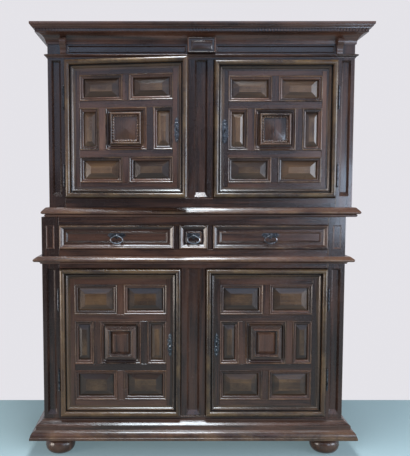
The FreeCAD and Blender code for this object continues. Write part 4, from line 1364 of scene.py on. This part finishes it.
@dataclass
class PanelDoor:
    """A door with a bold surround, small fielded panels and a carved block in the middle.

    Attributes:
        name: Its name, which starts its nodes' names and is its CAD body.
        block: What stands on its middle.
        ease: Width taken off the edges of its frame.
        block_margin: From the middle opening's edge to the block.
        panel_back: How far the middle panel lies behind the door's face.
        block_floor: How far the block's floor stands out from the door's face.
        lobe_inset: From the block's edge to the rows of lobes.
        lobes: How many lobes each row has.
        lobe_size: Least size of a lobe.
        lobe_rise: How far the lobes' middles stand out from the door's face.
        fine_ease: Width taken off the edges of its panels and its lock.
        bolt_ease: Width taken off the edges of the bolt.
        plate_thick: Thickness of the key plate.
        plate_edge: Width of its rounded edge.
        keyhole_size: Half the width of the keyhole.
        nail_size: Size of a nail's head.
        nail_rise: How far the nails' middles stand out from the door's face.
        turn: From the door shut to the door at rest.
        leaf: The front of its frame when shut.
        thick: The frame's thickness.
    """

    name: str
    block: BlockKind
    ease: float = 1.2 * MM
    block_margin: float = 24 * MM
    panel_back: float = 9 * MM
    block_floor: float = 4 * MM
    lobe_inset: float = 17 * MM
    lobes: int = 9
    lobe_size: float = 9 * MM
    lobe_rise: float = 10 * MM
    fine_ease: float = 0.8 * MM
    bolt_ease: float = 0.6 * MM
    plate_thick: float = 2.2 * MM
    plate_edge: float = 0.5 * MM
    keyhole_size: float = 3.6 * MM
    nail_size: Vector = Vector((5.5 * MM, 4 * MM, 5.5 * MM))
    nail_rise: float = 2.6 * MM
    turn: Matrix = field(init=False)
    leaf: Rect = field(init=False)
    thick: float = field(init=False)

    SURROUND = scaled([
        (0, 0), (0, 14), *arc((12, 14), (12, 12), 180, 0, 16), (24, 1.5), (28.5, 1.5), (29, 8.5),
        *arc((18.8, -13), (26, 26), 62, 32, 6), (50, 0.4), (50, 0),
    ])
    PANEL_MOULDING = scaled([
        (0, -12), (0, 1), (0.8, 2.4), *arc((-3.6, -8.5), (13, 13), 62, 32, 6), (7.6, -3.4), (8.6, -3.4),
        (9, -1.6), *arc((9, -10), (9.5, 8.4), 90, 10), (18.5, -12),
    ])
    # Wear and painted light on the flat fronts of the fields; painted shade on their bevels.
    FIELD_WEAR_AND_LIGHT = 0.45
    BEVEL_SHADE = -0.15
    PYRAMID_FRAME = scaled([
        (0, 3), (0, 13), *arc((5.5, 14), (5.5, 5.5), 180, 0), (11.5, 13), (22, 6), (22, 3),
    ])
    FIELD_FRAME = scaled([
        (0, 3), (0, 9), (15, 18.5), *arc((17, 18), (2, 2), 165, 0, 4), (19, 10), (25, 6), (25, 3),
    ])
    PYRAMID_INSET, PYRAMID_TOP, PYRAMID_HEIGHT = 26 * MM, 3 * MM, 12 * MM
    FIELD_INSET, FIELD_BEVEL, FIELD_HEIGHT = 28 * MM, 14 * MM, 13 * MM
    LOBE_SHARE = 0.95
    PLATE_WIDENING, PLATE_LOBES, PLATE_CUT = 1.25, 2.5, 0.42
    NAIL_SHARES = (-0.4, -0.2, 0.16, 0.29, 0.42)

    def __post_init__(self) -> None:
        """Find how far the door stands open at rest, and its leaf when shut."""
        hinge = next(j for j in frame["joints"] if j["name"] == f"{self.name}_hinge")
        ajar = math.radians(-hinge["range_deg"][0])
        line = Matrix.Translation(hinge["pos_m"])
        self.turn = line @ Matrix.Rotation(ajar, 4, Vector(hinge["axis"])) @ line.inverted()
        solids = self.solids("frame")
        low = Vector(min(s.low[i] for s in solids) for i in range(3))
        high = Vector(max(s.high[i] for s in solids) for i in range(3))
        self.leaf = Rect(low.x, high.x, low.z, high.z, low.y)
        self.thick = high.y - low.y

    def solids(self, part: str) -> list[Solid]:
        """Return the solids of one of its nodes, with the door shut."""
        return solids_of(f"{self.name}_{part}", self.turn.inverted())

    def build(self) -> None:
        """Make every piece of the door."""
        self._joinery()
        self._panels()
        self._block()
        self._fittings()

    def _joinery(self) -> None:
        """Make the frame and the surround."""
        dress(f"{self.name}_frame", WAXED_WALNUT, self.name, self.ease, 0.6, self.turn)
        surround = Draft(f"{self.name}_surround_run")
        surround.add_mitred(self.leaf, self.SURROUND, 1.0)
        surround.build(RUBBED_WALNUT, self.name, self.turn, (f"{self.name}_surround",))

    def _panels(self) -> None:
        """Make the fielded panels and the moulding round each opening."""
        *panels, middle = self.solids("panels")
        draft = Draft(f"{self.name}_fielded_panels")
        for panel in panels:
            first = len(draft.faces)
            draft.add_eased(panel, self.fine_ease, edge_wear=0.7)
            # The fields' fronts get the rubbed colour as painted light, and their bevels get painted shade.
            draft.mark_fields(first, self.FIELD_WEAR_AND_LIGHT, self.BEVEL_SHADE)
        add_frustum(draft, self._opening(middle), -self.thick, 0, -self.panel_back)
        draft.build(WALNUT_FIELD, self.name, self.turn, (f"{self.name}_panels",), Draft.FLAT)
        mouldings = Draft(f"{self.name}_panel_mouldings")
        for panel in (*panels, middle):
            mouldings.add_mitred(self._opening(panel), self.PANEL_MOULDING, 0.9)
        mouldings.build(WAXED_WALNUT, self.name, self.turn)

    def _opening(self, panel: Solid) -> Rect:
        """Return the opening that a panel fills, in the door's face."""
        return front_rect(panel, self.leaf.plane)

    def _block(self) -> None:
        """Carve the block on the door's middle."""
        block = self._opening(self.solids("panels")[-1]).inside(self.block_margin)
        draft = Draft(f"{self.name}_carved_block")
        add_frustum(draft, block, -self.panel_back, 0, self.block_floor)
        if self.block is BlockKind.PYRAMID:
            draft.add_mitred(block, self.PYRAMID_FRAME, 0.9)
            base = block.inside(self.PYRAMID_INSET)
            half = min(base.right - base.left, base.top - base.bottom) / 2
            add_frustum(draft, base, self.block_floor, half - self.PYRAMID_TOP, self.PYRAMID_HEIGHT)
        else:
            draft.add_mitred(block, self.FIELD_FRAME, 0.9)
            base = block.inside(self.FIELD_INSET)
            add_frustum(draft, base, self.block_floor, self.FIELD_BEVEL, self.FIELD_HEIGHT)
        draft.build(WAXED_WALNUT, self.name, self.turn)
        rows = []
        corners = [block.corner(number, self.lobe_inset, self.lobe_rise) for number in range(4)]
        for first, last in zip(corners, corners[1:] + corners[:1]):
            step = (last - first) / self.lobes
            lobe = Vector(max(abs(side) * self.LOBE_SHARE, self.lobe_size) for side in step)
            rows.append(Row(first + step / 2, step, self.lobes, lobe))
        ROWS.build(f"{self.name}_lobes", RowShape.LOBE, rows, WAXED_WALNUT, self.name, self.turn, 0.8)

    def _fittings(self) -> None:
        """Make the lock, its plate and bolt, and the moving hinge halves."""
        lock_case, plate = self.solids("lock")
        draft = Draft(f"{self.name}_lock_and_plate")
        draft.add_eased(lock_case, self.fine_ease)
        face = front_rect(plate, self.leaf.plane)
        breadth, length = face.right - face.left, face.top - face.bottom
        outline = scrolled_edge(length, breadth * self.PLATE_WIDENING, self.PLATE_LOBES, self.PLATE_CUT)
        outlines = [outline, keyhole(self.keyhole_size)]
        draft.add_plate(outlines, face.middle, self.plate_thick, self.plate_edge, 0.9)
        draft.build(WROUGHT_IRON, self.name, self.turn, (f"{self.name}_lock",))
        moving = (("lock_bolt", "bolt", f"{self.name}_bolt", self.bolt_ease),
                  ("hinge_knuckles", "knuckles", self.name, 0.0))
        for node, label, body, ease in moving:
            name = f"{self.name}_{label}_dressed"
            dress(f"{self.name}_{node}", WROUGHT_IRON, body, ease, turn=self.turn, name=name)
        nails = [face.middle + Vector((0, -self.nail_rise, length * share)) for share in self.NAIL_SHARES]
        rows = [Row(place, Vector((0, 0, 0)), 1, self.nail_size) for place in nails]
        ROWS.build(f"{self.name}_plate_nails", RowShape.NAIL, rows, WROUGHT_IRON, self.name, self.turn, 1.0)


def add_frustum(draft: Draft, rect: Rect, low: float, inset: float, high: float) -> None:
    """Add a block that narrows towards the front.

    Args:
        draft: The piece it goes into.
        rect: Its foot, in the plane that heights are measured from.
        low: Its back's distance proud of the plane.
        inset: How much its front is smaller on each side.
        high: Its front's distance proud of the plane.
    """
    rings = [[rect.corner(n, step, proud) for n in range(4)] for step, proud in ((0, low), (inset, high))]
    draft.add_loft(rings, [0.25] * 4)


# Drawers


@dataclass
class Drawer:
    """A drawer with a moulded front and a drop ring.

    Attributes:
        name: Its name, which starts its nodes' names and is its CAD body.
        bead: Width of the moulding round the front.
        step: From the moulding to the sunk field's edge.
        ease: Width taken off the edges of its boards.
        plate_thick: Thickness of the back plate.
        plate_edge: Width of its rounded edge.
        staple: Half the thickness of the staple's bar.
        slack: From the ring's bar to the middle of the staple's.
    """

    name: str
    bead: float = 22 * MM
    step: float = 9 * MM
    ease: float = 0.8 * MM
    plate_thick: float = 2 * MM
    plate_edge: float = 0.5 * MM
    staple: float = 2 * MM
    slack: float = 2.4 * MM

    BEAD = scaled([
        (0, 0), (0, 7), *arc((5, 8), (5, 5.5), 180, 40), (10, 11), (20.5, 2), (22, 2), (22, 0),
    ])
    FIELD_EDGE = scaled([(0, -1), (0, 1.5), *arc((2, 2), (2, 2), 180, 0, 5), (5, 2.6), (10, 0.4), (10, -1)])
    PLATE_LOBES, PLATE_CUT = 1.5, 0.5

    def build(self) -> None:
        """Make the front, the box, the back plate and the ring."""
        board, *_ = solids_of(f"{self.name}_front")
        front = front_rect(board, board.low.y)
        draft = Draft(f"{self.name}_moulded_front")
        draft.add_eased(board, self.ease)
        draft.add_mitred(front, self.BEAD, 1.0)
        draft.add_mitred(front.inside(self.bead + self.step), self.FIELD_EDGE, 0.7)
        draft.build(WAXED_WALNUT, self.name, replaced=(f"{self.name}_front",))
        dress(f"{self.name}_box", BARE_BOARDS, self.name, self.ease)
        self._pull(front)

    def _pull(self, front: Rect) -> None:
        """Make the back plate with its staple, and the ring that hangs in it.

        Args:
            front: The front of the drawer's board.
        """
        hinge = next(j for j in frame["joints"] if j["name"] == f"{self.name}_ring_hinge")
        eye = Vector(hinge["pos_m"])
        low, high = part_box(f"{self.name}_pull_plate")
        ring_low, ring_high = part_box(f"{self.name}_pull_ring")
        wire = (ring_high.y - ring_low.y) / 2
        back = Vector((eye.x, front.plane, (low.z + high.z) / 2))
        edge = scrolled_edge(high.x - low.x, high.z - low.z, self.PLATE_LOBES, self.PLATE_CUT)
        outline = [(v, u) for u, v in reversed(edge)]
        plate = Draft(f"{self.name}_back_plate")
        plate.add_plate([outline], back, self.plate_thick, self.plate_edge, 0.8)
        reach = wire + self.slack
        half_turn = arc((eye.y, eye.z), (reach, reach), 90, 270, 10)
        bow = [Vector((eye.x, y, z)) for y, z in half_turn]
        foot = front.plane - self.plate_thick / 2
        legs = [Vector((eye.x, foot, eye.z + side * reach)) for side in (1, -1)]
        plate.add_tube([legs[0], *bow, legs[1]], self.staple, False)
        plate.build(WROUGHT_IRON, self.name, replaced=(f"{self.name}_pull_plate",))
        ring = Draft(f"{self.name}_drop_ring")
        half = (ring_high.x - ring_low.x) / 2 - wire
        drop = eye.z - ring_low.z - wire
        ring.add_tube(pointed_ring(eye, half, drop), wire, True, 0.9)
        ring.build(WROUGHT_IRON, f"{self.name}_ring", replaced=(f"{self.name}_pull_ring",))


def pointed_ring(eye: Vector, half: float, drop: float) -> list[Vector]:
    """Return the middle line of a ring that rises to a point under its eye.

    Args:
        eye: Where it hangs.
        half: Half its width.
        drop: Its height.

    Returns:
        Points round the ring.
    """
    steps, peak, peak_angle, sharpness = 48, 0.12, 0.7, 1.4
    points = []
    for i in range(steps):
        angle = math.tau * i / steps
        from_top = min(angle, math.tau - angle)
        rise = peak * max(0.0, 1 - from_top / peak_angle) ** sharpness
        level = (1 - peak) / 2 * (math.cos(angle) - 1) - peak + rise
        points.append(eye + Vector((half * math.sin(angle), 0, drop * level)))
    return points


# Room, light and camera


@dataclass(frozen=True)
class Lamp:
    """A soft rectangular light.

    Attributes:
        name: Its name.
        place: Where it stands.
        target: What it points at.
        size: Its width and height.
        power: Its power in watts.
        colour: Its colour.
    """

    name: str
    place: Place
    target: Place
    size: tuple[float, float]
    power: float
    colour: Colour

    def build(self) -> None:
        """Add the light."""
        data = bpy.data.lights.new(self.name, "AREA")
        data.shape, data.size, data.size_y = "RECTANGLE", *self.size
        data.energy, data.color = self.power, self.colour
        lamp = bpy.data.objects.new(self.name, data)
        lamp.location = self.place
        way = Vector(self.target) - Vector(self.place)
        lamp.rotation_euler = way.to_track_quat("-Z", "Y").to_euler()
        bpy.context.scene.collection.objects.link(lamp)


@dataclass(frozen=True)
class Room:
    """A pale floor, a white surround, soft light and the photograph's camera.

    Attributes:
        floor_half: Half the floor's width.
        floor_front, floor_back: The floor's ends.
        floor_colour: Colour of the floor.
        floor_glow: Light that evens the floor out, where it is seen.
        wall_colour: What the camera sees behind.
        fill_colour, fill: Colour and strength of the light from all round.
        sides: How much stronger that light is from the left and the right.
        lens: Focal length for a 36 mm long side.
        eye: The camera's place.
        tilt: How far it looks down, in degrees.
        shift: The picture's shift, as shares of its long side.
        lamps: The lights.
    """

    floor_half: float = 2.6
    floor_front: float = -4.0
    floor_back: float = 0.5
    floor_colour: Colour = (0.2, 0.25, 0.255)
    floor_glow: Colour = (0.12, 0.17, 0.185)
    wall_colour: Colour = (0.78, 0.77, 0.81)
    fill_colour: Colour = (0.64, 0.77, 1.0)
    fill: float = 0.16
    sides: float = 0.7
    lens: float = 45.8
    eye: Vector = Vector((-0.155, -3.009, 1.313))
    tilt: float = 4.0
    shift: tuple[float, float] = (0.088, 0.0)
    lamps: tuple[Lamp, ...] = (
        Lamp("ceiling", (-0.1, -0.85, 4.0), (-0.1, -0.6, 0.9), (1.1, 1.3), 222, (0.82, 0.92, 1.0)),
        Lamp("spot", (0.1, -2.2, 4.0), (0, -0.3, 1.2), (0.35, 0.4), 24, (0.93, 0.96, 1.0)),
        Lamp("front", (2.3, -4.3, 1.15), (0, 0, 1.0), (0.9, 0.9), 40, (0.62, 0.78, 1.0)),
        Lamp("sky", (1.7, -4.6, 2.4), (0, 0, 1.4), (2.6, 1.6), 15, (0.6, 0.75, 1.0)),
        Lamp("left_sky", (-1.9, -4.4, 2.3), (-0.4, 0, 1.6), (2.0, 1.6), 12, (0.58, 0.74, 1.0)),
        Lamp("high_sky", (0.2, -4.6, 3.2), (0, 0, 2.0), (3.4, 0.5), 17, (0.45, 0.68, 1.0)),
        Lamp("window", (3.4, -1.9, 1.3), (0, 0, 1.0), (1.6, 2.2), 140, (0.8, 0.88, 1.0)),
        Lamp("warm_side", (-3.4, -1.8, 0.7), (0, 0, 0.9), (1.4, 1.4), 90, (1.0, 0.92, 0.84)),
    )

    FLOOR_CLOUDS = 1.06
    FLOOR_ROUGHNESS = 0.7
    FLOOR_SPECULAR = 0.05
    SENSOR = 36.0

    def build(self) -> None:
        """Add the floor, the surround, the lights and the camera."""
        self._floor()
        self._surround()
        for lamp in self.lamps:
            lamp.build()
        self._camera()

    def _floor(self) -> None:
        """Add the floor."""
        mesh = bpy.data.meshes.new("floor")
        x, y0, y1 = self.floor_half, self.floor_front, self.floor_back
        mesh.from_pydata([(-x, y0, 0), (x, y0, 0), (x, y1, 0), (-x, y1, 0)], [], [(0, 1, 2, 3)])
        material, nodes, shader = new_material("pale_floor")
        place = nodes.add("ShaderNodeTexCoord").outputs["Object"]
        clouds = nodes.noise(place, (2.5, 2.5, 2.5), 4)
        paler = tuple(c * self.FLOOR_CLOUDS for c in self.floor_colour)
        colour = nodes.mix(clouds, rgba(self.floor_colour), rgba(paler))
        rough = nodes.math("MULTIPLY_ADD", clouds, 0.2, self.FLOOR_ROUGHNESS)
        seen = nodes.ray("Camera", "Glossy", "Transmission")
        nodes.join(shader, {"Base Color": colour, "Roughness": rough, "Emission Strength": seen})
        shader.inputs["Emission Color"].default_value = rgba(self.floor_glow)
        shader.inputs["Specular IOR Level"].default_value = self.FLOOR_SPECULAR
        mesh.materials.append(material)
        floor = bpy.data.objects.new("floor", mesh)
        bpy.context.scene.collection.objects.link(floor)

    def _surround(self) -> None:
        """Light the scene from all round, and show a plain pale wall to the camera and to polished faces."""
        world = bpy.data.worlds.new("surround")
        world.use_nodes = True
        bpy.context.scene.world = world
        nodes = NodeTree(world.node_tree)
        output = world.node_tree.nodes["World Output"]
        direction = nodes.add("ShaderNodeTexCoord").outputs["Generated"]
        way = nodes.add("ShaderNodeSeparateXYZ", {0: direction}).outputs
        behind = nodes.ramp(way["Y"], 0.0, 1.6)
        mirrored = nodes.math("MULTIPLY", nodes.ray("Glossy", "Transmission"), behind)
        seen = nodes.math("MAXIMUM", nodes.ray("Camera"), mirrored)
        sideways = nodes.math("MULTIPLY", way["X"], way["X"])
        strength = nodes.math("MULTIPLY_ADD", sideways, self.sides, self.fill)
        light = nodes.add("ShaderNodeBackground", {"Color": rgba(self.fill_colour), "Strength": strength})
        wall = nodes.add("ShaderNodeBackground", {"Color": rgba(self.wall_colour), "Strength": 1.0})
        mixed = nodes.add("ShaderNodeMixShader", {0: seen, 1: light.outputs[0], 2: wall.outputs[0]})
        nodes.join(output, {"Surface": mixed.outputs[0]})

    def _camera(self) -> None:
        """Add the camera."""
        data = bpy.data.cameras.new("camera")
        data.lens, data.sensor_width = self.lens, self.SENSOR
        data.shift_x, data.shift_y = self.shift
        camera = bpy.data.objects.new("camera", data)
        camera.location = self.eye
        camera.rotation_euler = (math.radians(90 - self.tilt), 0, 0)
        bpy.context.scene.collection.objects.link(camera)
        bpy.context.scene.camera = camera
        bpy.context.scene.view_settings.view_transform = "Standard"


def write_sizes() -> None:
    """Bring the view layer up to date."""
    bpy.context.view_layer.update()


def main() -> None:
    """Build the cabinet's pieces in order, then the room."""
    logging.basicConfig(level=logging.INFO, format="%(name)s: %(message)s")
    upper, lower = Case("upper"), Case("lower")
    for case in (lower, upper):
        case.build()
    for node, case, profile, wear in (
        ("plinth", lower, plinth_profile(), 1.0),
        ("waist_moulding", lower, waist_profile(), 1.0),
        ("base_moulding", upper, base_profile(), 0.8),
        ("necking_moulding", upper, necking_profile(), 0.25),
        ("cornice", upper, cornice_profile(), 0.12),
    ):
        CaseMoulding(node, case, profile, wear).build()
    Frieze(upper).build()
    BeltPanels(lower).build()
    Feet(lower).build()
    for level, block in (("upper", BlockKind.PYRAMID), ("lower", BlockKind.FIELD)):
        for side in ("left", "right"):
            PanelDoor(f"{level}_{side}_door", block).build()
    for place in ("left", "centre", "right"):
        Drawer(f"{place}_drawer").build()
    Room().build()
    write_sizes()


if __name__ == "__main__":
    main()
